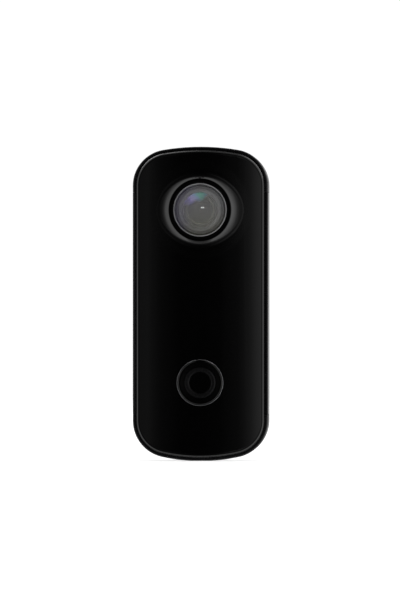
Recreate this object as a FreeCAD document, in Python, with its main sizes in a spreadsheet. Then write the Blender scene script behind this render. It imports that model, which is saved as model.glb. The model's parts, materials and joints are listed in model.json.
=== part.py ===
import FreeCAD, Part
import itertools
import math
import os

import Sketcher

from FreeCAD import Placement, Rotation, Vector

# Thumb-sized action camera: an upright, round-ended body with a flared lens collar near the top of
# its front and a ringed shutter button near the bottom.
#
# Millimetres, +Z up. The lens looks along -Y, the flat magnetic back faces +Y and +X is to the right as
# seen from the front. The origin is the middle of the footprint, at the height of the foot.
# Every sub-part is an object of the document, sized from the Dims spreadsheet, and is written to
# parts/LABEL.step.

DOC = FreeCAD.newDocument("ActionCamera")
SHEET = DOC.addObject("Spreadsheet::Sheet", "Dims")

# Driving dimensions: (alias, value, what it is). Depths are Y places, negative towards the front.
DIMENSIONS = [
    ("height", 61.0, "whole height of the body"),
    ("half_width", 13.16, "half of the body's width"),
    ("top_crown", 44.0, "radius of the shallow arc over the top"),
    ("top_corner", 7.0, "radius of the two top corners"),
    ("foot_crown", 35.0, "radius of the shallow arc under the foot"),
    ("foot_corner", 7.2, "radius of the two bottom corners"),
    ("foot_flat", 0.06, "height of the sliver taken off the crowned foot so that it stands"),
    ("clearance", 0.05, "gap between pieces that are glued or clipped together"),
    ("running_gap", 0.10, "gap around a piece that slides"),
    # front cover
    ("face", -9.1, "front of the cover on its centre line"),
    ("face_radius", 40.0, "radius of the cover's curve across its width"),
    ("cover_wall", 1.2, "wall of the front cover"),
    ("cover_back", -6.0, "back edge of the front cover"),
    ("cover_inset", 0.8, "step from the body's side in to the front cover"),
    ("cover_edge", 0.7, "rounding of the front cover's rim"),
    # middle frame
    ("frame_front", -5.8, "front edge of the middle frame"),
    ("frame_back", 7.2, "back edge of the middle frame"),
    ("frame_wall", 1.4, "wall of the middle frame"),
    ("frame_edge", 0.4, "rounding of the frame's front rim"),
    ("web_front", -5.6, "front of the bulkhead inside the frame"),
    ("web_back", -4.8, "back of that bulkhead"),
    # rear cover
    ("rear_front", 7.4, "front edge of the rear cover"),
    ("back", 10.0, "flat back"),
    ("rear_wall", 1.3, "wall of the rear cover"),
    ("rear_edge", 1.9, "rounding of the rear cover's rim"),
    ("rear_inset", 0.12, "shadow step between frame and rear cover"),
    # lens
    ("lens_height", 48.7, "height of the lens axis"),
    ("collar_crest", -10.0, "front of the flared collar"),
    ("collar_bore", 5.9, "hole through the collar for the bezel"),
    ("collar_foot", -7.9, "depth that the collar's flank runs down to, inside the cover"),
    ("flare_radius", 6.0, "radius of the flank's hollow curve"),
    ("flare_front", -13.694, "depth of that curve's centre"),
    ("flare_reach", 10.778, "distance of that curve's centre from the lens axis"),
    ("bezel_front", -9.75, "front of the lens bezel"),
    ("bezel_bore", 5.24, "hole of the bezel around the window"),
    ("bezel_ledge", 4.75, "hole of the ledge behind the window"),
    ("window_radius", 5.2, "radius of the protective window"),
    ("window_back", -8.75, "flat back of the window"),
    ("window_rim", -9.35, "front of the window at its rim"),
    ("window_apex", -9.85, "front of the window on its axis"),
    ("barrel_radius", 3.98, "lens barrel, M8 outside"),
    ("holder_half", 6.8, "half of the square lens holder"),
    # shutter button
    ("button_height", 15.2, "height of the shutter button's axis"),
    ("trim_outer", 4.47, "outside of the bright ring round the button"),
    ("trim_inner", 4.3, "inside of that ring"),
    ("trim_front", -9.16, "front of that ring"),
    ("button_radius", 4.2, "shutter button cap"),
    ("button_front", -9.22, "front of the cap's rim"),
    ("glow_outer", 3.03, "outside of the cap's light ring"),
    ("glow_inner", 2.1, "inside of the cap's light ring"),
    ("button_travel", 0.3, "stroke of a button"),
    ("plunger_radius", 0.85, "plunger of a tactile switch"),
    ("board_front", 4.0, "front face of the main board"),
    ("board_back", 4.8, "back face of the main board"),
    ("switch_board_front", -6.2, "front face of the shutter's small board"),
    # battery
    ("battery_left", -8.9, "left side of the battery"),
    ("battery_right", 10.4, "right side of the battery"),
    ("battery_low", 5.5, "bottom of the battery"),
    ("battery_high", 40.5, "top of the battery"),
    ("battery_front", -4.77, "front of the battery"),
    ("battery_back", 0.7, "back of the battery"),
    # side panels and port door
    ("panel_low", 8.9, "bottom of the side recesses"),
    ("panel_high", 52.2, "top of the side recesses"),
    ("panel_back", 6.55, "back of the side recesses"),
    ("panel_thick", 1.1, "thickness of door and side panel"),
    ("panel_lap", 0.55, "thickness of their front lap"),
    ("lap_back", -5.0, "back edge of the lap"),
    ("hinge_y", 5.6, "depth of the door's hinge axis"),
    ("hinge_x", -12.45, "side place of the door's hinge axis"),
    ("hinge_barrel", 0.7, "radius of the door's hinge barrel"),
    ("hinge_pin", 0.4, "radius of the hinge pin"),
    ("well_floor", -9.9, "floor of the port well"),
    ("well_front", -1.5, "front wall of the port well"),
    ("well_back", 3.75, "back wall of the port well"),
    ("well_low", 16.8, "bottom wall of the port well"),
    ("well_high", 42.1, "top wall of the port well"),
    ("usb_height", 24.2, "height of the socket's axis"),
    ("card_height", 35.1, "height of the memory card's middle"),
    ("reset_height", 18.7, "height of the reset button"),
    # back
    ("mode_height", 43.6, "height of the mode button"),
    ("mode_radius", 2.6, "mode button cap"),
    ("status_height", 51.2, "height of the status window"),
    ("screw_top", 55.5, "height of the upper cover screws"),
    ("screw_top_x", 8.6, "side place of the upper cover screws"),
    ("screw_foot", 5.35, "height of the lower cover screws"),
    ("screw_foot_x", 8.7, "side place of the lower cover screws"),
    ("speaker_height", 10.6, "height of the speaker's axis"),
    ("speaker_radius", 4.4, "loudspeaker"),
]


class Size:
    """A value from the sheet, or a sum made of such values, that also knows its own expression."""

    def __init__(self, value, text=None):
        self.value = float(value)
        self.text = text if text is not None else repr(float(value))

    def _join(self, other, sign, value):
        return Size(value, "(%s %s %s)" % (self.text, sign, size(other).text))

    def __add__(self, other):
        return self._join(other, "+", self.value + size(other).value)

    def __radd__(self, other):
        return size(other) + self

    def __sub__(self, other):
        return self._join(other, "-", self.value - size(other).value)

    def __rsub__(self, other):
        return size(other) - self

    def __mul__(self, other):
        return self._join(other, "*", self.value * size(other).value)

    def __rmul__(self, other):
        return size(other) * self

    def __truediv__(self, other):
        return self._join(other, "/", self.value / size(other).value)

    def __neg__(self):
        return size(0.0) - self


def size(value):
    """The value as a Size."""
    return value if isinstance(value, Size) else Size(value)


class Dims:
    """Attribute access to the sheet's cells, each as a Size."""


D = Dims()
for row, (alias, number, note) in enumerate(DIMENSIONS, start=1):
    SHEET.set("A%d" % row, alias)
    SHEET.set("B%d" % row, repr(number))
    SHEET.set("C%d" % row, note)
    SHEET.setAlias("B%d" % row, alias)
    setattr(D, alias, Size(number, "Dims." + alias))
DOC.recompute()

PARTS = []
NUMBERS = itertools.count(1)


def scratch_name(stem):
    """A name for a document object that no other object has."""
    return "%s%03d" % (stem, next(NUMBERS))


def bind(thing, name, value):
    """Ties one property of a document object to the sheet."""
    thing.setExpression(name, size(value).text)


def keep(thing, label):
    """Marks the object as the sub-part that is written out under this name."""
    thing.Label = label
    PARTS.append(thing)
    return thing


# ---------------------------------------------------------------- sketches

AXES = {"XZ": "XZ_Plane", "YZ": "YZ_Plane", "XY": "XY_Plane"}


def sketch_in(body, plane, name, along=0.0, up=0.0):
    """An empty sketch on one of the body's own planes. On XZ, along is its Y place and its normal is -Y.
    On YZ, x runs along Y and the sketch's origin sits at height up. On XY, along is its height."""
    drawing = body.newObject("Sketcher::SketchObject", name)
    origin = [f for f in body.Origin.OriginFeatures if f.Role == AXES[plane]][0]
    drawing.AttachmentSupport = [(origin, "")]
    drawing.MapMode = "FlatFace"
    offset = -size(along) if plane == "XZ" else size(along)
    bind(drawing, "AttachmentOffset.Base.z", offset)
    bind(drawing, "AttachmentOffset.Base.y", up)
    return drawing


def constrain(drawing, kind, items, value):
    number = drawing.addConstraint(Sketcher.Constraint(kind, *items, size(value).value))
    drawing.setExpression("Constraints[%d]" % number, size(value).text)


def place_point(drawing, geometry, point, x, y):
    constrain(drawing, "DistanceX", (-1, 1, geometry, point), x)
    constrain(drawing, "DistanceY", (-1, 1, geometry, point), y)


def draw_circle(drawing, x, y, radius):
    x, y, radius = size(x), size(y), size(radius)
    middle = Vector(x.value, y.value, 0)
    number = drawing.addGeometry(Part.Circle(middle, Vector(0, 0, 1), radius.value))
    place_point(drawing, number, 3, x, y)
    constrain(drawing, "Radius", (number,), radius)


def draw_polygon(drawing, corners):
    """A closed outline of straight sides through the corners, each an (x, y) pair."""
    corners = [(size(x), size(y)) for x, y in corners]
    first = drawing.GeometryCount
    count = len(corners)
    for i, (x, y) in enumerate(corners):
        nx, ny = corners[(i + 1) % count]
        drawing.addGeometry(
            Part.LineSegment(Vector(x.value, y.value, 0), Vector(nx.value, ny.value, 0))
        )
    for i, (x, y) in enumerate(corners):
        drawing.addConstraint(
            Sketcher.Constraint("Coincident", first + (i - 1) % count, 2, first + i, 1)
        )
        place_point(drawing, first + i, 1, x, y)


def draw_box(drawing, x0, x1, y0, y1):
    draw_polygon(drawing, [(x0, y0), (x1, y0), (x1, y1), (x0, y1)])


def draw_slot(drawing, x, y, half_length, radius):
    """A level slot with round ends; half_length is from its middle to each end's centre."""
    x, y, half_length, radius = size(x), size(y), size(half_length), size(radius)
    first = drawing.GeometryCount
    up = Vector(0, 0, 1)
    right = Vector((x + half_length).value, y.value, 0)
    left = Vector((x - half_length).value, y.value, 0)
    rise = Vector(0, radius.value, 0)
    turn = math.pi / 2
    drawing.addGeometry(Part.ArcOfCircle(Part.Circle(right, up, radius.value), -turn, turn))
    drawing.addGeometry(Part.LineSegment(right + rise, left + rise))
    drawing.addGeometry(Part.ArcOfCircle(Part.Circle(left, up, radius.value), turn, 3 * turn))
    drawing.addGeometry(Part.LineSegment(left - rise, right - rise))
    for i in range(4):
        drawing.addConstraint(
            Sketcher.Constraint("Tangent", first + i, 2, first + (i + 1) % 4, 1)
        )
    place_point(drawing, first, 3, x + half_length, y)
    place_point(drawing, first + 2, 3, x - half_length, y)
    constrain(drawing, "Radius", (first,), radius)


def arc_between(centre, radius, start, end):
    """An arc about centre, anticlockwise from the direction of start to that of end."""
    angles = [math.atan2(p.y - centre.y, p.x - centre.x) for p in (start, end)]
    if angles[1] < angles[0]:
        angles[1] += 2 * math.pi
    return Part.ArcOfCircle(Part.Circle(centre, Vector(0, 0, 1), radius), *angles)


def draw_outline(drawing, inset):
    """The body's front outline, taken in by inset: two straight sides, four corner arcs and a
    shallow crown at each end, all tangent."""
    inset = size(inset)
    half = D.half_width - inset
    ends = [
        (D.top_crown - inset, D.top_corner - inset, D.height - D.top_crown, 1),
        (D.foot_crown - inset, D.foot_corner - inset, D.foot_crown - D.foot_flat, -1),
    ]
    points, centres = [], []
    for crown, corner, crown_centre, way in ends:
        reach = half.value - corner.value
        drop = math.sqrt((crown.value - corner.value) ** 2 - reach**2)
        corner_z = crown_centre.value + way * drop
        share = crown.value / (crown.value - corner.value)
        meet = Vector(reach * share, crown_centre.value + way * drop * share, 0)
        points.append((Vector(half.value, corner_z, 0), meet))
        centres.append((Vector(reach, corner_z, 0), Vector(0, crown_centre.value, 0)))
    (top_side, top_meet), (foot_side, foot_meet) = points
    (top_centre, top_middle), (foot_centre, foot_middle) = centres

    def flip(p):
        return Vector(-p.x, p.y, 0)

    top_corner, foot_corner = ends[0][1].value, ends[1][1].value
    pieces = [
        Part.LineSegment(foot_side, top_side),
        arc_between(top_centre, top_corner, top_side, top_meet),
        arc_between(top_middle, ends[0][0].value, top_meet, flip(top_meet)),
        arc_between(flip(top_centre), top_corner, flip(top_meet), flip(top_side)),
        Part.LineSegment(flip(top_side), flip(foot_side)),
        arc_between(flip(foot_centre), foot_corner, flip(foot_side), flip(foot_meet)),
        arc_between(foot_middle, ends[1][0].value, flip(foot_meet), foot_meet),
        arc_between(foot_centre, foot_corner, foot_meet, foot_side),
    ]
    first = drawing.GeometryCount
    for piece in pieces:
        drawing.addGeometry(piece)
    for i in range(len(pieces)):
        drawing.addConstraint(
            Sketcher.Constraint("Tangent", first + i, 2, first + (i + 1) % len(pieces), 1)
        )
    constrain(drawing, "DistanceX", (-1, 1, first, 1), half)
    constrain(drawing, "DistanceX", (-1, 1, first + 4, 1), -half)
    for number, (crown, corner, crown_centre, way) in ((2, ends[0]), (6, ends[1])):
        place_point(drawing, first + number, 3, 0.0, crown_centre)
        constrain(drawing, "Radius", (first + number,), crown)
        for side in (number - 1, number + 1):
            constrain(drawing, "Radius", (first + side,), corner)


# ---------------------------------------------------------------- features

def new_body(label):
    body = DOC.addObject("PartDesign::Body", scratch_name("Body"))
    body.Label = label
    return body


def pad(body, draw, back, front, plane="XZ"):
    """Adds material between two Y places (XZ), two X places (YZ) or two heights (XY), in the outline
    that draw puts in the sketch."""
    start, length = (back, size(back) - front) if plane == "XZ" else (front, size(back) - front)
    drawing = sketch_in(body, plane, scratch_name("Sketch"), start)
    draw(drawing)
    feature = body.newObject("PartDesign::Pad", scratch_name("Pad"))
    feature.Profile = drawing
    bind(feature, "Length", length)
    DOC.recompute()
    return feature


def pocket(body, draw, back, front, plane="XZ"):
    """Removes material between two places. Its sketch lies on the far side, so it cuts backwards."""
    start, length = (front, size(back) - front) if plane == "XZ" else (back, size(back) - front)
    drawing = sketch_in(body, plane, scratch_name("Sketch"), start)
    draw(drawing)
    before = body.Shape.Volume
    feature = body.newObject("PartDesign::Pocket", scratch_name("Pocket"))
    feature.Profile = drawing
    bind(feature, "Length", length)
    DOC.recompute()
    if not body.Shape.Volume < before - 1e-6:
        raise RuntimeError("a pocket of %s cut nothing" % body.Label)
    return feature


def turned(body, height, corners, groove=False):
    """Turns a profile about the Y axis at that height, adding or removing it. corners are the
    profile's (y, radius) points, or a function that draws it."""
    drawing = sketch_in(body, "YZ", scratch_name("Sketch"), 0.0, height)
    if callable(corners):
        corners(drawing)
    else:
        draw_polygon(drawing, corners)
    before = body.Shape.Volume if body.Tip else 0.0
    kind = "PartDesign::Groove" if groove else "PartDesign::Revolution"
    feature = body.newObject(kind, scratch_name("Turned"))
    feature.Profile = drawing
    feature.ReferenceAxis = (drawing, ["H_Axis"])
    feature.Angle = 360.0
    DOC.recompute()
    if groove and not body.Shape.Volume < before - 1e-6:
        raise RuntimeError("a groove of %s cut nothing" % body.Label)
    return feature


def rounded(body, radius, wanted):
    """Rounds the edges of the body's last feature that wanted(edge) picks."""
    base = body.Tip
    names = ["Edge%d" % (i + 1) for i, e in enumerate(base.Shape.Edges) if wanted(e)]
    if not names:
        raise RuntimeError("%s has no edge to round" % body.Label)
    feature = body.newObject("PartDesign::Fillet", scratch_name("Fillet"))
    feature.Base = (base, names)
    bind(feature, "Radius", radius)
    DOC.recompute()
    return feature


def all_along(edge, axis, low, high):
    """True if the whole edge lies between two places along an axis, 0 for X, 1 for Y, 2 for Z."""
    box = edge.BoundBox
    lows, highs = (box.XMin, box.YMin, box.ZMin), (box.XMax, box.YMax, box.ZMax)
    return lows[axis] >= low and highs[axis] <= high


def straight_along_y(length):
    """A test that picks the straight edges of that length that run along Y."""
    wanted = size(length).value

    def test(edge):
        box = edge.BoundBox
        return abs(box.YLength - wanted) < 0.01 and box.XLength < 0.01 and box.ZLength < 0.01

    return test


def rim_test(body, place):
    """A test that picks the outside edges of the body's flat face at that Y place."""
    y = size(place).value
    flat = [f for f in body.Tip.Shape.Faces if all(abs(v.Y - y) < 1e-4 for v in f.Vertexes)]
    rim = flat[0].OuterWire.Edges
    return lambda edge: any(edge.isSame(other) for other in rim)


def cuboid(x0, x1, y0, y1, z0, z1):
    thing = DOC.addObject("Part::Box", scratch_name("Box"))
    for name, low, high in (("Length", x0, x1), ("Width", y0, y1), ("Height", z0, z1)):
        bind(thing, name, size(high) - low)
    for name, low in (("x", x0), ("y", y0), ("z", z0)):
        bind(thing, "Placement.Base." + name, low)
    return thing


TURNS = {"x": Rotation(Vector(0, 1, 0), 90), "y": Rotation(Vector(1, 0, 0), -90), "z": Rotation()}


def cylinder(axis, start, end, radius, x=0.0, y=0.0, z=0.0):
    """A cylinder along x, y or z between two places on that axis."""
    thing = DOC.addObject("Part::Cylinder", scratch_name("Cylinder"))
    thing.Placement = Placement(Vector(), TURNS[axis])
    bind(thing, "Radius", radius)
    bind(thing, "Height", size(end) - start)
    places = {"x": x, "y": y, "z": z}
    places[axis] = start
    for name, value in places.items():
        bind(thing, "Placement.Base." + name, value)
    return thing


def cut(base, *tools):
    result = DOC.addObject("Part::Cut", scratch_name("Cut"))
    result.Base = base
    result.Tool = tools[0] if len(tools) == 1 else joined(*tools)
    return result


def joined(*things):
    result = DOC.addObject("Part::MultiFuse", scratch_name("Fuse"))
    result.Shapes = list(things)
    return result


def common(a, b):
    result = DOC.addObject("Part::Common", scratch_name("Common"))
    result.Base, result.Tool = a, b
    return result


def edges_rounded(base, radius, wanted):
    """A Part fillet of the edges that wanted(edge) picks. The radius is read from the sheet here."""
    DOC.recompute()
    result = DOC.addObject("Part::Fillet", scratch_name("Fillet"))
    result.Base = base
    found = [i + 1 for i, e in enumerate(base.Shape.Edges) if wanted(e)]
    if not found:
        raise RuntimeError("no edge to round")
    value = size(radius).value
    result.Edges = [(number, value, value) for number in found]
    return result


def grouped(label, things):
    """Several separate solids under one name, such as a set of screws."""
    result = DOC.addObject("Part::Compound", scratch_name("Group"))
    result.Links = things
    return keep(result, label)


def prism(label, inset, back, front):
    body = new_body(label)
    pad(body, lambda s: draw_outline(s, inset), back, front)
    return body


# ---------------------------------------------------------------- casing


def curved_face(body, face, radius, inset):
    """Cuts the front of a padded outline back to a cylinder that bends across the body's width."""

    def draw(drawing):
        side = D.half_width - inset + 1.0
        centre_y = size(face) + radius
        drop = centre_y.value - math.sqrt(size(radius).value ** 2 - side.value**2)
        start = Vector(-side.value, drop, 0)
        end = Vector(side.value, drop, 0)
        centre = Vector(0, centre_y.value, 0)
        ahead = size(face) - 2.0
        first = drawing.addGeometry(arc_between(centre, size(radius).value, start, end))
        corners = [end, Vector(side.value, ahead.value, 0), Vector(-side.value, ahead.value, 0)]
        for a, b in zip(corners, corners[1:] + [start]):
            drawing.addGeometry(Part.LineSegment(a, b))
        for i in range(4):
            drawing.addConstraint(
                Sketcher.Constraint("Coincident", first + i, 2, first + (i + 1) % 4, 1)
            )
        place_point(drawing, first, 3, 0.0, centre_y)
        constrain(drawing, "Radius", (first,), radius)
        place_point(drawing, first + 1, 2, side, ahead)
        place_point(drawing, first + 2, 2, -side, ahead)
        constrain(drawing, "DistanceX", (-1, 1, first, 1), -side)
        constrain(drawing, "DistanceX", (-1, 1, first, 2), side)

    return pocket(body, draw, D.height + 5.0, -5.0, "XY")


def draw_flare(drawing):
    """Profile of the collar: a hollow arc from the crest down into the cover, closed near the axis."""
    y, r, rho = D.flare_front.value, D.flare_reach.value, D.flare_radius.value
    crest, foot, inner = D.collar_crest.value, D.collar_foot.value, 4.0
    centre = Vector(y, r, 0)
    at_crest = Vector(crest, r - math.sqrt(rho**2 - (crest - y) ** 2), 0)
    at_foot = Vector(foot, r - math.sqrt(rho**2 - (foot - y) ** 2), 0)
    first = drawing.GeometryCount
    drawing.addGeometry(arc_between(centre, rho, at_crest, at_foot))
    corners = [at_foot, Vector(foot, inner, 0), Vector(crest, inner, 0), at_crest]
    for start, end in zip(corners, corners[1:]):
        drawing.addGeometry(Part.LineSegment(start, end))
    for i in range(4):
        joint = (first + i, 2, first + (i + 1) % 4, 1)
        drawing.addConstraint(Sketcher.Constraint("Coincident", *joint))
    place_point(drawing, first, 3, D.flare_front, D.flare_reach)
    constrain(drawing, "Radius", (first,), D.flare_radius)
    constrain(drawing, "DistanceX", (-1, 1, first, 1), D.collar_crest)
    constrain(drawing, "DistanceX", (-1, 1, first, 2), D.collar_foot)
    place_point(drawing, first + 2, 1, D.collar_foot, inner)
    place_point(drawing, first + 3, 1, D.collar_crest, inner)


def make_front_cover():
    """Gloss shell, bent across its width, with a collar that flares up round the lens."""
    cover = prism("front_cover_outside", D.cover_inset, D.cover_back, D.face)
    curved_face(cover, D.face, D.face_radius, D.cover_inset)
    rounded(cover, D.cover_edge, lambda e: all_along(e, 1, -12.0, D.cover_back.value - 0.3))
    turned(cover, D.lens_height, draw_flare)
    crest, foot = D.collar_crest.value, D.collar_foot.value
    middle = D.lens_height.value

    def at_crest(edge):
        return all_along(edge, 1, crest - 0.01, crest + 0.01) and edge.Length > 30

    def at_foot(edge):
        box = edge.BoundBox
        across = box.XLength > 12 and box.ZLength > 12 and abs(box.Center.z - middle) < 1
        return across and box.YMin > crest + 0.5 and box.YMax < foot and edge.Length > 30

    rounded(cover, 0.2, at_crest)
    rounded(cover, 1.6, at_foot)
    pocket(cover, lambda s: draw_circle(s, 0, D.lens_height, D.collar_bore), -5.0, -11.0)
    pocket(cover, lambda s: draw_circle(s, 0, D.button_height, D.trim_outer + 0.02), -5.0, -11.0)

    cavity = prism("front_cover_inside", D.cover_inset + D.cover_wall, D.cover_back + 1.0, D.face)
    inner_radius = D.face_radius - D.cover_wall
    curved_face(cavity, D.face + D.cover_wall, inner_radius, D.cover_inset + D.cover_wall)
    keep(cut(cover, cavity), "front_cover")


def make_seals():
    """Glued gasket behind the front cover and clamped gasket ahead of the rear cover."""
    for label, inset, back, front in (
        ("front_seal", D.cover_inset + 0.2, D.frame_front, D.cover_back),
        ("rear_seal", D.rear_inset + 0.3, D.rear_front, D.frame_back),
    ):
        seal = new_body(label)

        def ring(drawing, inset=inset):
            draw_outline(drawing, inset)
            draw_outline(drawing, inset + 0.9)

        pad(seal, ring, back, front)
        keep(seal, label)


def side_recess(side):
    """The space that a side panel or the port door sits in. side is -1 on the port side, else 1."""
    wall = D.half_width
    deep = wall - D.panel_thick - 0.15
    shallow = wall - D.panel_lap - 0.1
    tools = []
    for inner, front, back in (
        (deep, D.lap_back, D.panel_back),
        (shallow, D.frame_front - 1.0, D.lap_back + 0.1),
    ):
        x0, x1 = (-wall - 1.0, -inner) if side < 0 else (inner, wall + 1.0)
        tools.append(cuboid(x0, x1, front, back, D.panel_low, D.panel_high))
    return tools


def screw_places():
    """The (x, z) places of the four rear cover screws."""
    rows = ((D.screw_top_x, D.screw_top), (D.screw_foot_x, D.screw_foot))
    return [(x * side, z) for side in (-1.0, 1.0) for x, z in rows]


BOARD_SCREWS = [(2.6, 57.2), (9.5, 33.5), (0.0, 3.9)]

SPEAKER_HOLES = [(0.0, 0.0), (1.9, 0.0), (-1.9, 0.0)]
SPEAKER_HOLES += [(x, z) for x in (-0.95, 0.95) for z in (-1.65, 1.65)]


def make_mid_frame():
    """Structural ring with a bulkhead, side recesses, the port well and the screw bosses."""
    ring = new_body("frame_ring")

    def section(drawing):
        draw_outline(drawing, 0.0)
        draw_outline(drawing, D.frame_wall)

    pad(ring, section, D.frame_back, D.frame_front)
    rounded(ring, D.frame_edge, rim_test(ring, D.frame_front))
    web = prism("frame_web", D.frame_wall - 0.2, D.web_back, D.web_front)
    pocket(web, lambda s: draw_circle(s, 0, D.lens_height, D.barrel_radius + 0.3), -4.0, -7.0)
    pocket(web, lambda s: draw_box(s, 1.6, 5.5, 2.4, 4.6), -4.0, -7.0)

    inner = D.half_width - D.frame_wall
    backing = inner - 0.9
    low, high = D.panel_low - 1.0, D.panel_high + 0.4
    solids = [ring, web]
    for x0, x1 in ((-inner - 0.2, -backing), (backing, inner + 0.2)):
        solids.append(cuboid(x0, x1, D.web_back - 0.2, D.panel_back + 0.6, low, high))
    solids.append(
        cuboid(
            -inner - 0.2,
            D.well_floor + 0.8,
            D.well_front - 0.9,
            D.well_back + 0.9,
            D.well_low - 0.9,
            D.well_high + 0.9,
        )
    )
    core = prism("boss_limit", 0.5, D.frame_back, 3.0)
    for x, z in screw_places():
        solids.append(common(cylinder("y", 3.8, D.frame_back, 2.5, x=x, z=z), core))
    for x, z in BOARD_SCREWS:
        solids.append(cylinder("y", 1.7, D.board_front, 1.2, x=x, z=z))
    solids.append(cuboid(2.0, 3.2, 1.7, D.board_front, 57.2, D.height - D.frame_wall + 0.1))
    solids.append(cuboid(9.5, inner + 0.2, 1.7, D.board_front, 32.6, 34.4))
    solids.append(cuboid(-0.9, 0.9, 1.7, D.board_front, D.frame_wall - 0.1, 3.9))

    tools = side_recess(-1) + side_recess(1)
    tools.append(
        cuboid(-D.half_width, D.well_floor, D.well_front, D.well_back, D.well_low, D.well_high)
    )
    for reach, radius in ((1.0, D.hinge_pin + 0.02), (0.0, D.hinge_barrel + 0.12)):
        low, high = D.panel_low - reach, D.panel_high + reach
        tools.append(cylinder("z", low, high, radius, x=D.hinge_x, y=D.hinge_y))
    through = D.well_floor + 1.5
    tools.append(cuboid(-12.0, through, 1.25, 4.15, D.usb_height - 4.05, D.usb_height + 4.05))
    tools.append(cuboid(-12.0, through, 2.65, 3.8, D.card_height - 5.65, D.card_height + 5.65))
    tools.append(cylinder("x", -12.0, through, 0.95, y=3.1, z=D.reset_height))
    for x, z in screw_places():
        tools.append(cylinder("y", 4.6, D.frame_back + 1.0, 0.8, x=x, z=z))
    for x, z in BOARD_SCREWS:
        tools.append(cylinder("y", 2.0, D.board_front + 1.0, 0.5, x=x, z=z))
    tools.append(cylinder("z", 58.0, D.height + 1.0, 0.5, x=-5.0, y=1.7))
    tools.append(cylinder("z", 58.0, D.height - 1.0, 1.05, x=-5.0, y=1.7))
    tools.append(below_floor())
    keep(cut(joined(*solids), *tools), "mid_frame")


def below_floor():
    """A block under height zero, which flattens the middle of the crowned foot."""
    return cuboid(-20.0, 20.0, -20.0, 20.0, -2.0, 0.0)


def make_rear_cover():
    """Flat magnetic back with a window for the status lights, the mode button and speaker holes."""
    cover = prism("rear_cover_outside", D.rear_inset, D.back, D.rear_front)
    back = D.back.value
    rounded(cover, D.rear_edge, lambda e: all_along(e, 1, back - 0.01, back + 0.01))
    inner = D.rear_inset + D.rear_wall + 0.4
    pocket(cover, lambda s: draw_outline(s, inner), D.back - D.rear_wall, D.rear_front - 1.0)
    ahead, behind = D.rear_front - 1.0, D.back + 1.0
    button_hole = D.mode_radius + D.running_gap
    pocket(cover, lambda s: draw_circle(s, 0, D.mode_height, button_hole), behind, ahead)
    pocket(cover, lambda s: draw_slot(s, 0, D.status_height, 5.0, 1.75), behind, D.back - 0.65)
    pocket(cover, lambda s: draw_slot(s, 0, D.status_height, 4.8, 1.0), behind, ahead)
    for x, z in SPEAKER_HOLES:
        pocket(cover, lambda s: draw_circle(s, x, D.speaker_height + z, 0.45), behind, ahead)
    posts = []
    for x, z in screw_places():
        posts.append(cylinder("y", D.frame_back + 0.05, D.back - 0.5, 1.9, x=x, z=z))
    tools = []
    for x, z in screw_places():
        tools.append(cylinder("y", D.frame_back - 1.0, D.back + 1.0, 0.82, x=x, z=z))
        tools.append(cylinder("y", D.back - 0.85, D.back + 1.0, 1.45, x=x, z=z))
    tools.append(below_floor())
    keep(cut(joined(cover, *posts), *tools), "rear_cover")


def screw(x, z, head_back, head_radius, head_depth, shank_radius, tip):
    """A cross-head screw whose head is at the back and whose shank points forward along -Y."""
    body = new_body("screw")
    drawing = sketch_in(body, "YZ", scratch_name("Sketch"), x, z)
    head = size(head_back)
    draw_polygon(
        drawing,
        [
            (tip, 0.0),
            (size(tip) + 0.3, shank_radius),
            (head - head_depth, shank_radius),
            (head - head_depth * 0.4, head_radius),
            (head, head_radius),
            (head, 0.0),
        ],
    )
    feature = body.newObject("PartDesign::Revolution", scratch_name("Turned"))
    feature.Profile = drawing
    feature.ReferenceAxis = (drawing, ["H_Axis"])
    feature.Angle = 360.0
    DOC.recompute()
    arm, half = head_radius * 0.62, head_radius * 0.15
    deep = head_depth * 0.55
    for wide, tall in ((arm, half), (half, arm)):

        def slot(s, wide=wide, tall=tall):
            cx, cz = size(x), size(z)
            draw_box(s, cx - wide, cx + wide, cz - tall, cz + tall)

        pocket(body, slot, head + 1.0, head - deep)
    return body


def make_screws():
    """Four screws hold the rear cover, three hold the main board."""
    covers = [screw(x, z, D.back - 0.12, 1.35, 0.72, 0.74, 4.75) for x, z in screw_places()]
    grouped("rear_cover_screws", covers)
    boards = [screw(x, z, D.board_back + 0.55, 0.95, 0.5, 0.46, 2.2) for x, z in BOARD_SCREWS]
    grouped("board_screws", boards)


# ---------------------------------------------------------------- lens


def make_bezel_and_window():
    """Black ring in the collar, the domed window it holds, and the gasket behind the window."""
    bezel = new_body("lens_bezel")
    outer = D.collar_bore - D.clearance
    turned(
        bezel,
        D.lens_height,
        [
            (D.bezel_front, D.bezel_bore + 0.12),
            (D.bezel_front + 0.15, D.bezel_bore),
            (D.window_back + 0.25, D.bezel_bore),
            (D.window_back + 0.25, D.bezel_ledge),
            (D.window_back + 1.8, D.bezel_ledge + 0.25),
            (D.window_back + 1.8, outer + 0.9),
            (D.window_back + 1.5, outer + 0.9),
            (D.window_back + 1.5, outer),
            (D.bezel_front + 0.08, outer),
            (D.bezel_front, outer - 0.08),
        ],
    )
    keep(bezel, "lens_bezel")

    gasket = new_body("window_gasket")
    turned(
        gasket,
        D.lens_height,
        [
            (D.window_back + 0.02, D.bezel_ledge + 0.05),
            (D.window_back + 0.02, D.window_radius - 0.02),
            (D.window_back + 0.23, D.window_radius - 0.02),
            (D.window_back + 0.23, D.bezel_ledge + 0.05),
        ],
    )
    keep(gasket, "window_gasket")

    rim, apex, radius = D.window_rim, D.window_apex, D.window_radius
    rise = rim - apex
    face_radius = (radius * radius + rise * rise) / (rise * 2.0)
    blank = cylinder("y", apex - 0.5, D.window_back, radius, z=D.lens_height)
    dome = sphere(0.0, apex + face_radius, D.lens_height, face_radius)
    window = common(blank, dome)
    rim_y = rim.value
    bevelled = edges_rounded(
        window, 0.12, lambda e: all_along(e, 1, rim_y - 0.05, rim_y + 0.05) and e.Length > 20
    )
    keep(bevelled, "lens_window")


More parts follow.
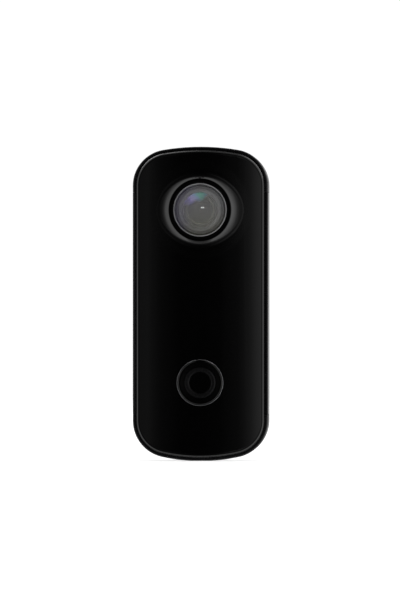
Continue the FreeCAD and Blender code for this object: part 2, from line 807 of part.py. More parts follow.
def sphere(x, y, z, radius):
    thing = DOC.addObject("Part::Sphere", scratch_name("Sphere"))
    bind(thing, "Radius", radius)
    for name, value in (("x", x), ("y", y), ("z", z)):
        bind(thing, "Placement.Base." + name, value)
    return thing


def lens_element(label, front, front_radius, back, back_radius, radius, hollow):
    """A round glass element. A positive face radius bulges forward, and hollow says that its back is
    scooped out by a sphere rather than bulging backward."""
    front, back = size(front), size(back)
    blank = cylinder("y", front, back, radius, z=D.lens_height)
    domed = common(blank, sphere(0.0, front + front_radius, D.lens_height, front_radius))
    if hollow:
        scoop = sphere(0.0, back - hollow + back_radius, D.lens_height, back_radius)
        shaped = cut(domed, scoop)
    else:
        shaped = common(domed, sphere(0.0, back - back_radius, D.lens_height, back_radius))
    keep(shaped, label)


def make_lens():
    """Threaded barrel with three glass elements, stepped baffles and a retaining ring."""
    barrel = new_body("lens_barrel")
    thread = D.barrel_radius
    turned(
        barrel,
        D.lens_height,
        [
            (-8.3, 4.15),
            (-8.3, 4.62),
            (-5.85, 4.62),
            (-5.85, thread),
            (0.5, thread),
            (0.5, 2.3),
            (-0.3, 2.3),
            (-0.3, 2.85),
            (-4.2, 2.85),
            (-4.2, 3.35),
            (-6.1, 3.35),
            (-6.1, 4.15),
        ],
    )
    for i in range(8):
        start = size(-5.4) + i * 0.7
        turned(
            barrel,
            D.lens_height,
            [(start, thread + 0.1), (start + 0.18, thread - 0.12), (start + 0.36, thread + 0.1)],
            groove=True,
        )
    keep(barrel, "lens_barrel")

    ring = new_body("lens_retaining_ring")
    turned(
        ring,
        D.lens_height,
        [(-8.28, 3.8), (-8.28, 4.1), (-6.58, 4.1), (-7.0, 3.4), (-8.0, 3.55)],
    )
    for turn in (0.0, 90.0):
        wide, tall = (4.2, 0.3) if turn == 0.0 else (0.3, 4.2)
        pocket(
            ring,
            lambda s, w=wide, t=tall: draw_box(s, -w, w, D.lens_height - t, D.lens_height + t),
            -8.1,
            -8.6,
        )
    keep(ring, "lens_retaining_ring")

    baffle = new_body("lens_baffle")
    turned(
        baffle,
        D.lens_height,
        [
            (-5.95, 3.3),
            (-4.35, 3.3),
            (-4.35, 1.9),
            (-4.75, 2.1),
            (-4.75, 2.4),
            (-5.15, 2.6),
            (-5.15, 2.9),
            (-5.95, 3.1),
        ],
    )
    keep(baffle, "lens_baffle")

    spacer = new_body("lens_spacer")
    turned(spacer, D.lens_height, [(-2.72, 2.8), (-1.45, 2.8), (-1.72, 2.35), (-2.58, 2.35)])
    keep(spacer, "lens_spacer")

    lens_element("front_element", -7.7, 7.5, -6.15, 3.6, 4.1, 0.9)
    lens_element("middle_element", -4.15, 4.2, -2.35, 9.0, 2.8, 0)
    lens_element("rear_element", -2.15, 5.5, -0.35, 5.5, 2.8, 0)

    half = D.holder_half
    block = cuboid(-half, half, 0.9, 3.0, D.lens_height - half, D.lens_height + half)
    sleeve = cylinder("y", -3.6, 1.2, 5.1, z=D.lens_height)
    holder = cut(
        joined(block, sleeve),
        cylinder("y", -5.0, 0.7, thread + 0.03, z=D.lens_height),
        cylinder("y", 0.0, 5.0, 2.4, z=D.lens_height),
        cuboid(-5.2, 5.2, 1.5, 4.0, D.lens_height - 5.2, D.lens_height + 5.2),
    )
    keep(edges_rounded(holder, 0.5, straight_along_y(2.1)), "lens_holder")
    keep(cuboid(-3.6, 3.6, 1.53, 1.83, D.lens_height - 3.6, D.lens_height + 3.6), "infrared_filter")
    chip = cut(
        cuboid(-4.4, 4.4, 2.1, 2.97, D.lens_height - 4.0, D.lens_height + 4.0),
        cuboid(-3.2, 3.2, 1.0, 2.35, D.lens_height - 2.4, D.lens_height + 2.4),
    )
    keep(chip, "image_sensor")
    edge = half + 0.1
    board = cuboid(-edge, edge, 3.02, 3.5, D.lens_height - edge, D.lens_height + edge)
    keep(board, "sensor_board")
    keep(cuboid(-5.0, 5.0, 3.52, 3.98, 44.2, 46.4), "sensor_connector")


# ---------------------------------------------------------------- shutter button


def make_shutter():
    """Cap with a hollow back and a post that meets the switch's plunger, in a bright trim ring."""
    trim = new_body("shutter_trim_ring")
    turned(
        trim,
        D.button_height,
        [
            (D.trim_front, D.trim_inner + 0.07),
            (D.trim_front + 0.07, D.trim_inner),
            (-7.2, D.trim_inner),
            (-7.2, D.trim_outer + 0.55),
            (-7.45, D.trim_outer + 0.55),
            (-7.45, D.trim_outer),
            (D.trim_front + 0.03, D.trim_outer),
            (D.trim_front, D.trim_outer - 0.03),
        ],
    )
    keep(trim, "shutter_trim_ring")

    front, radius = D.button_front, D.button_radius
    cap = new_body("shutter_button")
    dish = front + 0.12
    plunger_front = D.switch_board_front - 1.15
    turned(
        cap,
        D.button_height,
        [
            (dish, 0.0),
            (dish, D.glow_outer + 0.15),
            (front, radius - 0.35),
            (front, radius - 0.05),
            (front + 0.05, radius),
            (-8.35, radius),
            (-8.35, 3.9),
            (-7.85, 3.9),
            (-7.85, radius),
            (-7.12, radius),
            (-7.12, 4.8),
            (-6.85, 4.8),
            (-6.85, 3.55),
            (-8.0, 3.55),
            (-8.0, 0.9),
            (plunger_front - 0.02, 0.8),
            (plunger_front - 0.02, 0.0),
        ],
    )
    groove = [
        (dish - 1.0, D.glow_inner),
        (dish - 1.0, D.glow_outer),
        (dish + 0.45, D.glow_outer),
        (dish + 0.45, D.glow_inner),
    ]
    turned(cap, D.button_height, groove, groove=True)
    keep(cap, "shutter_button")

    glow = new_body("shutter_light_ring")
    mid = (D.glow_inner + D.glow_outer) * 0.5
    gap = 0.03
    turned(
        glow,
        D.button_height,
        [
            (dish + 0.42, D.glow_inner + gap),
            (dish + 0.42, D.glow_outer - gap),
            (dish - 0.02, D.glow_outer - gap),
            (dish - 0.08, mid + 0.2),
            (dish - 0.08, mid - 0.2),
            (dish - 0.02, D.glow_inner + gap),
        ],
    )
    keep(glow, "shutter_light_ring")

    ring = DOC.addObject("Part::Torus", scratch_name("Torus"))
    ring.Placement = Placement(Vector(0, -8.1, 0), TURNS["y"])
    bind(ring, "Radius1", 4.09)
    bind(ring, "Radius2", 0.175)
    bind(ring, "Placement.Base.z", D.button_height)
    keep(ring, "shutter_o_ring")

    board = D.switch_board_front
    plate = cuboid(-7.5, 7.5, board, D.web_front - 0.02, 8.8, 21.8)
    keep(edges_rounded(plate, 1.2, straight_along_y(D.web_front - 0.02 - board)), "switch_board")
    tactile_switch("shutter", 0.0, D.button_height, board, -1)


def tactile_switch(name, x, z, board, way):
    """A square switch on a board. way is -1 when its plunger points forward, 1 when backward."""
    board = size(board)
    near, far = board + way * 0.02, board + way * 0.8
    y0, y1 = (far, near) if way < 0 else (near, far)
    case = cuboid(size(x) - 2.1, size(x) + 2.1, y0, y1, size(z) - 2.1, size(z) + 2.1)
    hole_start, hole_end = board + way * 0.1, board + way * 2.0
    h0, h1 = (hole_end, hole_start) if way < 0 else (hole_start, hole_end)
    bore = cylinder("y", h0, h1, D.plunger_radius + 0.05, x=x, z=z)
    keep(cut(case, bore), name + "_switch")
    tip, root = board + way * 1.15, board + way * 0.45
    p0, p1 = (tip, root) if way < 0 else (root, tip)
    keep(cylinder("y", p0, p1, D.plunger_radius, x=x, z=z), name + "_switch_plunger")


# ---------------------------------------------------------------- boards and battery


def make_electronics():
    """Main board with its processor, shield, status lights, flex cable, battery and sound parts."""
    board = new_body("main_board")
    pad(board, lambda s: draw_outline(s, 2.7), D.board_back, D.board_front)
    ahead, behind = D.board_front - 1.0, D.board_back + 1.0
    edge = D.well_floor + 0.85
    pocket(board, lambda s: draw_box(s, -14.0, edge, 0.0, D.height), behind, ahead)
    for x, z in screw_places():
        pocket(board, lambda s, x=x, z=z: draw_circle(s, x, z, 2.75), behind, ahead)
    for x, z in BOARD_SCREWS:
        pocket(board, lambda s, x=x, z=z: draw_circle(s, x, z, 0.54), behind, ahead)
    keep(board, "main_board")

    back = D.board_back
    keep(cuboid(-5.5, 5.5, back + 0.02, back + 1.0, 21.5, 33.0), "processor")
    can = cut(
        cuboid(-7.0, 7.0, back + 0.02, back + 1.5, 19.0, 36.5),
        cuboid(-6.85, 6.85, back - 1.0, back + 1.35, 19.15, 36.35),
    )
    keep(can, "shield_can")
    keep(cuboid(-6.5, 6.5, back + 1.52, back + 1.9, 19.5, 36.0), "heat_spreader")

    middle = D.status_height
    places = [-4.2 + 2.8 * i for i in range(4)]
    lights = [
        cuboid(x - 0.5, x + 0.5, back + 0.01, back + 0.55, middle - 0.3, middle + 0.3) for x in places
    ]
    grouped("status_lights", lights)
    posts = [cylinder("y", back + 0.6, 8.2, 0.75, x=x, z=middle) for x in places]
    plate = cuboid(-6.5, 6.5, 8.0, D.back - D.rear_wall - 0.02, middle - 1.6, middle + 1.6)
    keep(joined(plate, *posts), "light_guide")

    window = new_body("status_window")
    pad(window, lambda s: draw_slot(s, 0, D.status_height, 4.97, 1.7), D.back - 0.04, D.back - 0.6)
    keep(window, "status_window")

    battery = cuboid(
        D.battery_left, D.battery_right, D.battery_front, D.battery_back, D.battery_low, D.battery_high
    )
    keep(
        edges_rounded(battery, 0.9, lambda e: e.BoundBox.ZLength > 30 or e.BoundBox.XLength > 15),
        "battery",
    )
    keep(cuboid(7.2, 10.3, 2.4, D.board_front - 0.02, 43.6, 46.4), "battery_connector")
    grouped("battery_leads", [battery_lead(8.1), battery_lead(9.4)])

    keep(cuboid(1.7, 5.4, 3.0, D.board_front - 0.02, 6.4, 8.4), "flex_connector")
    flex = new_body("switch_flex")
    pad(
        flex,
        lambda s: draw_polygon(
            s,
            [
                (-6.4, 12.4),
                (-6.4, 3.6),
                (-6.05, 3.25),
                (3.2, 3.25),
                (3.55, 3.6),
                (3.55, 6.38),
                (3.4, 6.38),
                (3.4, 3.66),
                (3.14, 3.4),
                (-5.99, 3.4),
                (-6.25, 3.66),
                (-6.25, 12.4),
            ],
        ),
        5.1,
        2.0,
        "YZ",
    )
    keep(flex, "switch_flex")

    keep(cuboid(-6.9, -3.1, 0.2, 3.2, 56.9, 57.9), "microphone")
    boot = cut(
        cylinder("z", 57.92, 59.3, 1.0, x=-5.0, y=1.7),
        cylinder("z", 57.0, 61.0, 0.45, x=-5.0, y=1.7),
    )
    keep(boot, "microphone_boot")
    keep(cylinder("z", 59.35, 59.5, 1.0, x=-5.0, y=1.7), "microphone_mesh")

    inside = D.back - D.rear_wall
    speaker = new_body("speaker")
    turned(
        speaker,
        D.speaker_height,
        [
            (6.1, 0.0),
            (6.1, 3.9),
            (6.5, D.speaker_radius),
            (inside - 0.02, D.speaker_radius),
            (inside - 0.02, 3.2),
            (inside - 0.5, 2.6),
            (inside - 0.5, 0.0),
        ],
    )
    keep(speaker, "speaker")
    keep(cuboid(-5.5, 5.5, inside - 0.25, inside - 0.02, 55.6, 58.2), "wifi_antenna")
    magnets = []
    for z in (22.2, 33.0):
        block = cuboid(-7.0, 7.0, 7.3, inside - 0.02, z - 4.6, z + 4.6)
        magnets.append(edges_rounded(block, 0.6, straight_along_y(inside - 0.02 - 7.3)))
    grouped("mounting_magnets", magnets)


def battery_lead(x):
    """An insulated wire: up from the cell's top, one round bend, then back into the connector."""
    radius, bend = 0.42, 1.6
    rise, lead_y = 44.9, -1.8
    start = Vector(x, lead_y, D.battery_high.value + 0.02)
    low = Vector(x, lead_y, rise - bend)
    high = Vector(x, lead_y + bend, rise)
    middle = Vector(x, lead_y + bend * (1 - math.sqrt(0.5)), rise - bend * (1 - math.sqrt(0.5)))
    end = Vector(x, 2.38, rise)
    path = Part.Wire(
        [Part.makeLine(start, low), Part.Arc(low, middle, high).toShape(), Part.makeLine(high, end)]
    )
    section = Part.Wire([Part.makeCircle(radius, start, Vector(0, 0, 1))])
    lead = DOC.addObject("Part::Feature", scratch_name("Lead"))
    lead.Shape = path.makePipeShell([section], True, True)
    return lead


# ---------------------------------------------------------------- mode button


def make_mode_button():
    """Round button in the back: cap, retaining flange and post on a tactile switch."""
    front = D.board_back + 1.17
    inside = D.back - D.rear_wall
    cap = new_body("mode_button")
    radius = D.mode_radius
    turned(
        cap,
        D.mode_height,
        [
            (front, 0.0),
            (front, 0.8),
            (inside - 1.0, 0.9),
            (inside - 1.0, 1.7),
            (inside - 0.6, radius + 0.6),
            (inside - 0.15, radius + 0.6),
            (inside - 0.15, radius),
            (D.back - 0.22, radius),
            (D.back - 0.1, radius - 0.12),
            (D.back - 0.35, 0.9),
            (D.back - 0.35, 0.0),
        ],
    )
    keep(cap, "mode_button")
    tactile_switch("mode", 0.0, D.mode_height, D.board_back, 1)


# ---------------------------------------------------------------- side panels, door and ports


def side_plate(side, back):
    """The flush plate of one side with its thinner front lap and rounded front edge."""
    wall = D.half_width
    low, high = D.panel_low + 0.06, D.panel_high - 0.06
    plates = []
    for thick, y0, y1 in (
        (D.panel_thick, D.lap_back + 0.2, back),
        (D.panel_lap, D.frame_front + 0.02, D.lap_back + 0.4),
    ):
        x0, x1 = (-wall, -wall + thick) if side < 0 else (wall - thick, wall)
        plates.append(cuboid(x0, x1, y0, y1, low, high))
    plate = joined(*plates)
    edge_x = side * wall.value
    edge_y = (D.frame_front + 0.02).value

    def front_edge(edge):
        middle = edge.BoundBox.Center
        at_corner = abs(middle.x - edge_x) < 0.01 and abs(middle.y - edge_y) < 0.01
        return at_corner and edge.Length > 30

    return edges_rounded(plate, 0.32, front_edge)


def make_side_panels():
    """Fixed grip panel on one side and, on the other, the hinged port door with its seal and pin."""
    keep(side_plate(1, D.panel_back - 0.06), "side_panel")

    low, high = D.panel_low + 0.06, D.panel_high - 0.06
    barrel = cylinder("z", low, high, D.hinge_barrel, x=D.hinge_x, y=D.hinge_y)
    door = cut(
        joined(side_plate(-1, D.hinge_y), barrel),
        cylinder("z", 0.0, D.height, D.hinge_pin + 0.03, x=D.hinge_x, y=D.hinge_y),
        seal_ring(0.0, 1.0),
        nail_notch(),
    )
    keep(door, "port_door")
    keep(
        cylinder("z", D.panel_low - 0.95, D.panel_high + 0.95, D.hinge_pin, x=D.hinge_x, y=D.hinge_y),
        "hinge_pin",
    )
    keep(seal_ring(0.05, 0.12), "door_seal")


def seal_ring(gap, proud):
    """A square-section ring in the door's inner face, just outside the port well's mouth. gap thins it
    on all sides and proud is how far it stands out of the door."""
    inner_face = D.panel_thick - D.half_width
    margin, wide = 0.1, 0.7
    x0, x1 = inner_face - 0.4 + gap, inner_face + proud

    def frame(out, x_start, x_end):
        return cuboid(
            x_start, x_end, D.well_front - out, D.well_back + out, D.well_low - out, D.well_high + out
        )

    return cut(frame(margin + wide - gap, x0, x1), frame(margin + gap, x0 - 1.0, x1 + 1.0))


def nail_notch():
    """A scoop in the door's outer face near its front edge, for a fingernail."""
    return cylinder("z", 27.0, 34.0, 0.5, x=-D.half_width - 0.18, y=-4.1)


def make_ports():
    """Socket, card holder with its card, and the reset button, all reached through the port well."""
    floor = D.well_floor
    height = D.usb_height

    def shell_outline(drawing, shrink):
        y0, y1 = 1.4 + shrink, 3.98 - shrink
        z0, z1 = height - 3.75 + shrink, height + 3.75 - shrink
        slope = 1.0
        draw_polygon(
            drawing,
            [(y0, z0 + slope), (y0, z1 - slope), (y0 + slope, z1), (y1, z1), (y1, z0), (y0 + slope, z0)],
        )

    shell = new_body("usb_socket")
    pad(shell, lambda s: shell_outline(s, 0.0), floor + 5.3, floor, "YZ")
    pocket(shell, lambda s: shell_outline(s, 0.25), floor + 4.6, floor - 1.0, "YZ")
    keep(shell, "usb_socket")
    keep(
        cuboid(floor + 0.5, floor + 4.58, 2.35, 2.95, height - 1.85, height + 1.85),
        "usb_tongue",
    )

    card = D.card_height
    edge = floor + 0.85
    holder = cut(
        cuboid(edge, edge + 14.4, 2.45, 3.98, card - 6.6, card + 6.6),
        cuboid(edge - 1.0, edge + 14.1, 2.65, 3.8, card - 5.6, card + 5.6),
    )
    keep(holder, "card_socket")
    card_body = new_body("memory_card")
    x0 = floor - 0.7
    pad(
        card_body,
        lambda s: draw_polygon(
            s,
            [
                (x0, card - 5.5),
                (x0, card + 5.5),
                (x0 + 15.0, card + 5.5),
                (x0 + 15.0, card - 4.2),
                (x0 + 8.6, card - 4.2),
                (x0 + 7.9, card - 4.9),
                (x0 + 6.6, card - 4.9),
                (x0 + 6.0, card - 5.5),
            ],
        ),
        3.62,
        2.87,
    )
    keep(card_body, "memory_card")

    reset = D.reset_height
    case = cuboid(edge + 0.05, edge + 2.9, 2.1, 3.98, reset - 1.55, reset + 1.55)
    bore = cylinder("x", edge - 1.0, edge + 1.6, 0.8, y=3.1, z=reset)
    keep(cut(case, bore), "reset_switch")
    keep(cylinder("x", floor + 0.15, edge + 1.2, 0.7, y=3.1, z=reset), "reset_button")


# ---------------------------------------------------------------- build and write


def check_document():
    """Stops if anything in the document failed or a sub-part isn't a sound solid."""
    DOC.recompute()
    bad = [o.Label for o in DOC.Objects if any(w in ("Invalid", "Error") for w in o.State)]
    if bad:
        raise RuntimeError("failed objects: %s" % bad)
    labels = [p.Label for p in PARTS]
    if len(labels) != len(set(labels)):
        raise RuntimeError("two sub-parts share a name")
    for part in PARTS:
        shape = part.Shape
        if shape.isNull() or not shape.isValid() or not shape.Solids or shape.Volume <= 0:
            raise RuntimeError("%s is not a sound solid" % part.Label)


def main():
    make_front_cover()
    make_seals()
    make_mid_frame()
    make_rear_cover()
    make_screws()
    make_bezel_and_window()
    make_lens()
    make_shutter()
    make_electronics()
    make_mode_button()
    make_side_panels()
    make_ports()
    check_document()
    os.makedirs("parts", exist_ok=True)
    for part in PARTS:
        part.Shape.exportStep("parts/%s.step" % part.Label)
        print("%-22s %2d solid(s) %9.2f mm3" % (part.Label, len(part.Shape.Solids), part.Shape.Volume))


main()
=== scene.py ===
import json
import math

import bmesh
import bpy
from mathutils import Matrix, Vector


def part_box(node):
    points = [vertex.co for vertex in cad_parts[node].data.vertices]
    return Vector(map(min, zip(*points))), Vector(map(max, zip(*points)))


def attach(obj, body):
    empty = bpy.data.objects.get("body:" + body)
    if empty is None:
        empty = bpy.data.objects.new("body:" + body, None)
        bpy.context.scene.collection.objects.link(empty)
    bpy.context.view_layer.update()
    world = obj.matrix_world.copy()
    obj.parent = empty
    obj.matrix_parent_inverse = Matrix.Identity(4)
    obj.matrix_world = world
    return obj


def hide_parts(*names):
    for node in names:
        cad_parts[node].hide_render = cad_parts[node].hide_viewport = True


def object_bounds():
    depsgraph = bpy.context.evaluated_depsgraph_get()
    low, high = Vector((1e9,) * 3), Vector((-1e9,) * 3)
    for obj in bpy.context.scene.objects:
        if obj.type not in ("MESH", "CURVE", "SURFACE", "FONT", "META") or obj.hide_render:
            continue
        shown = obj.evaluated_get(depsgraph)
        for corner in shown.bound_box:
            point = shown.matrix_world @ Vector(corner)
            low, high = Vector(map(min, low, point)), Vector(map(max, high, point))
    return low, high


MM = 0.001

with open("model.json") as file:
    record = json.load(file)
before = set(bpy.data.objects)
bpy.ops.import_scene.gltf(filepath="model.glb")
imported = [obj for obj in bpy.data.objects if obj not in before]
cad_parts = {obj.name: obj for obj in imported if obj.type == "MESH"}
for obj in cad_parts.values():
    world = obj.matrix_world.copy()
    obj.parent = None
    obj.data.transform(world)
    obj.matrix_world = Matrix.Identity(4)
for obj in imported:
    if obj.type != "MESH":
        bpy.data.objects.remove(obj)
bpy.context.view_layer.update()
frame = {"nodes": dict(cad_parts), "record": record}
NODES = frame["nodes"]
RECORD = frame["record"]
SLOT_OF = {s["node"]: s["material_slot"] for s in RECORD["subparts"]}


# ---------------------------------------------------------------- node helpers


class Graph:
    """A short way to build the node tree of a new material, or of a world."""

    def __init__(self, name=None, world=None):
        self.material = None if world else bpy.data.materials.new(name)
        owner = world or self.material
        owner.use_nodes = True
        self.tree = owner.node_tree
        self.tree.nodes.clear()
        self.out = self.tree.nodes.new("ShaderNodeOutputWorld" if world else "ShaderNodeOutputMaterial")

    def node(self, kind, **settings):
        made = self.tree.nodes.new(kind)
        for key, value in settings.items():
            setattr(made, key, value)
        return made

    def link(self, source, target):
        self.tree.links.new(source, target)

    def feed(self, socket, value):
        """Sets a socket to a value, or links it if the value is another socket."""
        if isinstance(value, bpy.types.NodeSocket):
            self.link(value, socket)
        elif value is not None:
            if isinstance(value, (tuple, list)) and len(value) == 3 and socket.type == "RGBA":
                value = (*value, 1.0)
            socket.default_value = value

    def place(self, scale=1000.0, rotation=(0, 0, 0), offset=(0, 0, 0)):
        """Object coordinates, by default in millimetres."""
        coord = self.node("ShaderNodeTexCoord")
        mapping = self.node("ShaderNodeMapping")
        self.link(coord.outputs["Object"], mapping.inputs["Vector"])
        scale = scale if isinstance(scale, (tuple, list)) else (scale,) * 3
        mapping.inputs["Scale"].default_value = scale
        mapping.inputs["Rotation"].default_value = rotation
        mapping.inputs["Location"].default_value = offset
        return mapping.outputs["Vector"]

    def noise(self, scale, detail=3.0, rough=0.55, vector=None, distortion=0.0):
        made = self.node("ShaderNodeTexNoise")
        self.link(vector or self.place(), made.inputs["Vector"])
        made.inputs["Scale"].default_value = scale
        made.inputs["Detail"].default_value = detail
        made.inputs["Roughness"].default_value = rough
        made.inputs["Distortion"].default_value = distortion
        return made.outputs["Fac"]

    def voronoi(self, scale, feature="F1", vector=None, output="Distance"):
        made = self.node("ShaderNodeTexVoronoi", feature=feature)
        self.link(vector or self.place(), made.inputs["Vector"])
        made.inputs["Scale"].default_value = scale
        return made.outputs[output]

    def wave(self, scale, direction, distortion=0.0):
        """Sine bands across that direction."""
        made = self.node("ShaderNodeTexWave", wave_type="BANDS", bands_direction=direction)
        self.link(self.place(), made.inputs["Vector"])
        made.inputs["Scale"].default_value = scale
        made.inputs["Distortion"].default_value = distortion
        return made.outputs["Fac"]

    def math(self, operation, a, b=0.0):
        made = self.node("ShaderNodeMath", operation=operation)
        self.feed(made.inputs[0], a)
        self.feed(made.inputs[1], b)
        return made.outputs[0]

    def spread(self, value, low, high, out_low, out_high, smooth=False):
        """Maps low..high to out_low..out_high, and stays there beyond them."""
        made = self.node("ShaderNodeMapRange", clamp=True)
        if smooth:
            made.interpolation_type = "SMOOTHSTEP"
        self.feed(made.inputs["Value"], value)
        for name, number in (
            ("From Min", low),
            ("From Max", high),
            ("To Min", out_low),
            ("To Max", out_high),
        ):
            made.inputs[name].default_value = number
        return made.outputs["Result"]

    def blend(self, factor, a, b):
        made = self.node("ShaderNodeMix", data_type="RGBA")
        self.feed(made.inputs["Factor"], factor)
        self.feed(made.inputs["A"], a)
        self.feed(made.inputs["B"], b)
        return made.outputs["Result"]

    def ramp(self, value, stops):
        """A colour ramp of (position, colour) stops."""
        made = self.node("ShaderNodeValToRGB")
        elements = made.color_ramp.elements
        while len(elements) < len(stops):
            elements.new(0.5)
        for element, (position, colour) in zip(elements, stops):
            element.position = position
            element.color = (*colour, 1.0)
        self.link(value, made.inputs["Fac"])
        return made.outputs["Color"]

    def bump(self, height, strength=0.2, distance=0.02 * MM):
        made = self.node("ShaderNodeBump")
        self.feed(made.inputs["Height"], height)
        made.inputs["Strength"].default_value = strength
        made.inputs["Distance"].default_value = distance
        return made.outputs["Normal"]

    def parts_of(self, vector):
        made = self.node("ShaderNodeSeparateXYZ")
        self.link(vector, made.inputs[0])
        return made.outputs

    def radius_from(self, x, z):
        """Distance in millimetres from an axis along Y through (x, z)."""
        xyz = self.parts_of(self.place(offset=(-x, 0, -z)))
        square_x = self.math("MULTIPLY", xyz[0], xyz[0])
        square_z = self.math("MULTIPLY", xyz[2], xyz[2])
        return self.math("SQRT", self.math("ADD", square_x, square_z))

    def edge_wear(self, radius=0.25 * MM):
        """About 1 on sharp outside edges and 0 elsewhere."""
        bevel = self.node("ShaderNodeBevel", samples=4)
        bevel.inputs["Radius"].default_value = radius
        geometry = self.node("ShaderNodeNewGeometry")
        dot = self.node("ShaderNodeVectorMath", operation="DOT_PRODUCT")
        self.link(bevel.outputs[0], dot.inputs[0])
        self.link(geometry.outputs["Normal"], dot.inputs[1])
        return self.spread(dot.outputs["Value"], 0.98, 0.75, 0.0, 1.0)

    def principled(self, **sockets):
        made = self.node("ShaderNodeBsdfPrincipled")
        for name, value in sockets.items():
            self.feed(made.inputs[name.replace("_", " ")], value)
        self.link(made.outputs["BSDF"], self.out.inputs["Surface"])
        return made


# ---------------------------------------------------------------- materials


def gloss_plastic(name, base, rough=0.03, collar_z=None):
    """Moulded gloss plastic with faint orange peel and hairline rubs. The polish is softer at the
    foot of a collar round the axis at collar_z, where a polishing wheel doesn't reach."""
    g = Graph(name)
    cloudy = g.noise(0.12, 2.0)
    colour = g.blend(g.spread(cloudy, 0.35, 0.65, 0.0, 1.0), base, tuple(c * 1.35 for c in base))
    rubs = g.noise(2.2, 4.0, 0.7, g.place((500.0, 500.0, 3200.0), (0.0, 0.25, 0.0)))
    smear = g.noise(0.22, 3.0)
    roughness = g.math(
        "ADD",
        g.spread(rubs, 0.45, 0.8, rough, rough + 0.02),
        g.spread(smear, 0.45, 0.75, 0.0, 0.03),
    )
    if collar_z is not None:
        reach = g.radius_from(0.0, collar_z)
        foot = g.math(
            "MULTIPLY",
            g.spread(reach, 7.3, 8.3, 0.0, 1.0, smooth=True),
            g.spread(reach, 10.4, 9.2, 0.0, 1.0, smooth=True),
        )
        roughness = g.math("ADD", roughness, g.math("MULTIPLY", foot, 0.16))
    peel = g.noise(0.9, 2.0)
    g.principled(
        Base_Color=colour,
        Roughness=roughness,
        IOR=1.5,
        Normal=g.bump(peel, 0.05, 0.003 * MM),
    )
    return g.material


def satin_plastic(name, base, rough=0.42, grain=30.0, strength=0.35, wear=(0.09, 0.09, 0.09)):
    """Spark-eroded satin plastic with a fine even texture and slightly polished edges."""
    g = Graph(name)
    cloudy = g.noise(0.2, 3.0)
    colour = g.blend(g.spread(cloudy, 0.3, 0.7, 0.0, 1.0), base, tuple(c * 1.3 for c in base))
    edge = g.edge_wear()
    scuff = g.math("MULTIPLY", edge, g.spread(g.noise(3.0, 4.0), 0.5, 0.75, 0.0, 0.5))
    colour = g.blend(scuff, colour, wear)
    texture = g.noise(grain, 2.0, 0.6)
    cells = g.voronoi(grain * 0.45, "SMOOTH_F1")
    height = g.math("ADD", texture, g.math("MULTIPLY", cells, 0.6))
    uneven = g.spread(g.noise(0.5, 4.0), 0.3, 0.7, rough - 0.04, rough + 0.06)
    roughness = g.math("SUBTRACT", uneven, g.math("MULTIPLY", edge, 0.12))
    g.principled(
        Base_Color=colour,
        Roughness=roughness,
        IOR=1.5,
        Normal=g.bump(height, strength, 0.012 * MM),
    )
    return g.material


def painted_metal(name, base):
    """Satin lacquer on a light alloy: fine spray texture, and bare metal at the sharpest edges."""
    g = Graph(name)
    spray = g.noise(9.0, 3.0, 0.6)
    fine = g.noise(40.0, 2.0)
    edge = g.edge_wear(0.12 * MM)
    chips = g.math("MULTIPLY", edge, g.spread(g.noise(5.0, 5.0, 0.7), 0.62, 0.7, 0.0, 1.0))
    colour = g.blend(g.spread(g.noise(0.3), 0.3, 0.7, 0.0, 1.0), base, tuple(c * 1.5 for c in base))
    colour = g.blend(chips, colour, (0.3, 0.3, 0.31))
    height = g.math("ADD", spray, g.math("MULTIPLY", fine, 0.4))
    g.principled(
        Base_Color=colour,
        Metallic=g.math("MULTIPLY", chips, 0.9),
        Roughness=g.spread(g.noise(1.2, 4.0), 0.3, 0.7, 0.2, 0.32),
        Coat_Weight=0.35,
        Coat_Roughness=0.12,
        Normal=g.bump(height, 0.12, 0.006 * MM),
    )
    return g.material


def turned_metal(name, base, rough, axis_z, metallic=1.0):
    """Metal turned on a lathe about an axis along Y, with five fine rings a millimetre."""
    turns = 5.0 * 2 * math.pi
    g = Graph(name)
    radius = g.radius_from(0.0, axis_z)
    ring = g.math("SINE", g.math("MULTIPLY", radius, turns))
    along = g.parts_of(g.place())[1]
    feed = g.math("SINE", g.math("MULTIPLY", along, turns))
    grain = g.noise(18.0, 3.0)
    height = g.math("ADD", g.math("ADD", ring, feed), grain)
    colour = g.blend(g.spread(grain, 0.3, 0.7, 0.0, 1.0), base, tuple(min(1.0, c * 1.2) for c in base))
    g.principled(
        Base_Color=colour,
        Metallic=metallic,
        Roughness=g.spread(g.noise(3.0), 0.3, 0.7, rough * 0.85, rough * 1.2),
        Normal=g.bump(height, 0.2, 0.002 * MM),
    )
    return g.material


def anodised_black(name, base, axis_z):
    """Light-trap black: dull dyed anodising over fine turned rings, so that almost nothing glints."""
    g = Graph(name)
    radius = g.radius_from(0.0, axis_z)
    ring = g.math("SINE", g.math("MULTIPLY", radius, 40.0))
    pores = g.noise(30.0, 3.0)
    g.principled(
        Base_Color=g.blend(pores, base, tuple(c * 1.6 for c in base)),
        Roughness=g.spread(pores, 0.3, 0.7, 0.5, 0.62),
        Specular_IOR_Level=0.08,
        Normal=g.bump(g.math("ADD", ring, pores), 0.15, 0.003 * MM),
    )
    return g.material


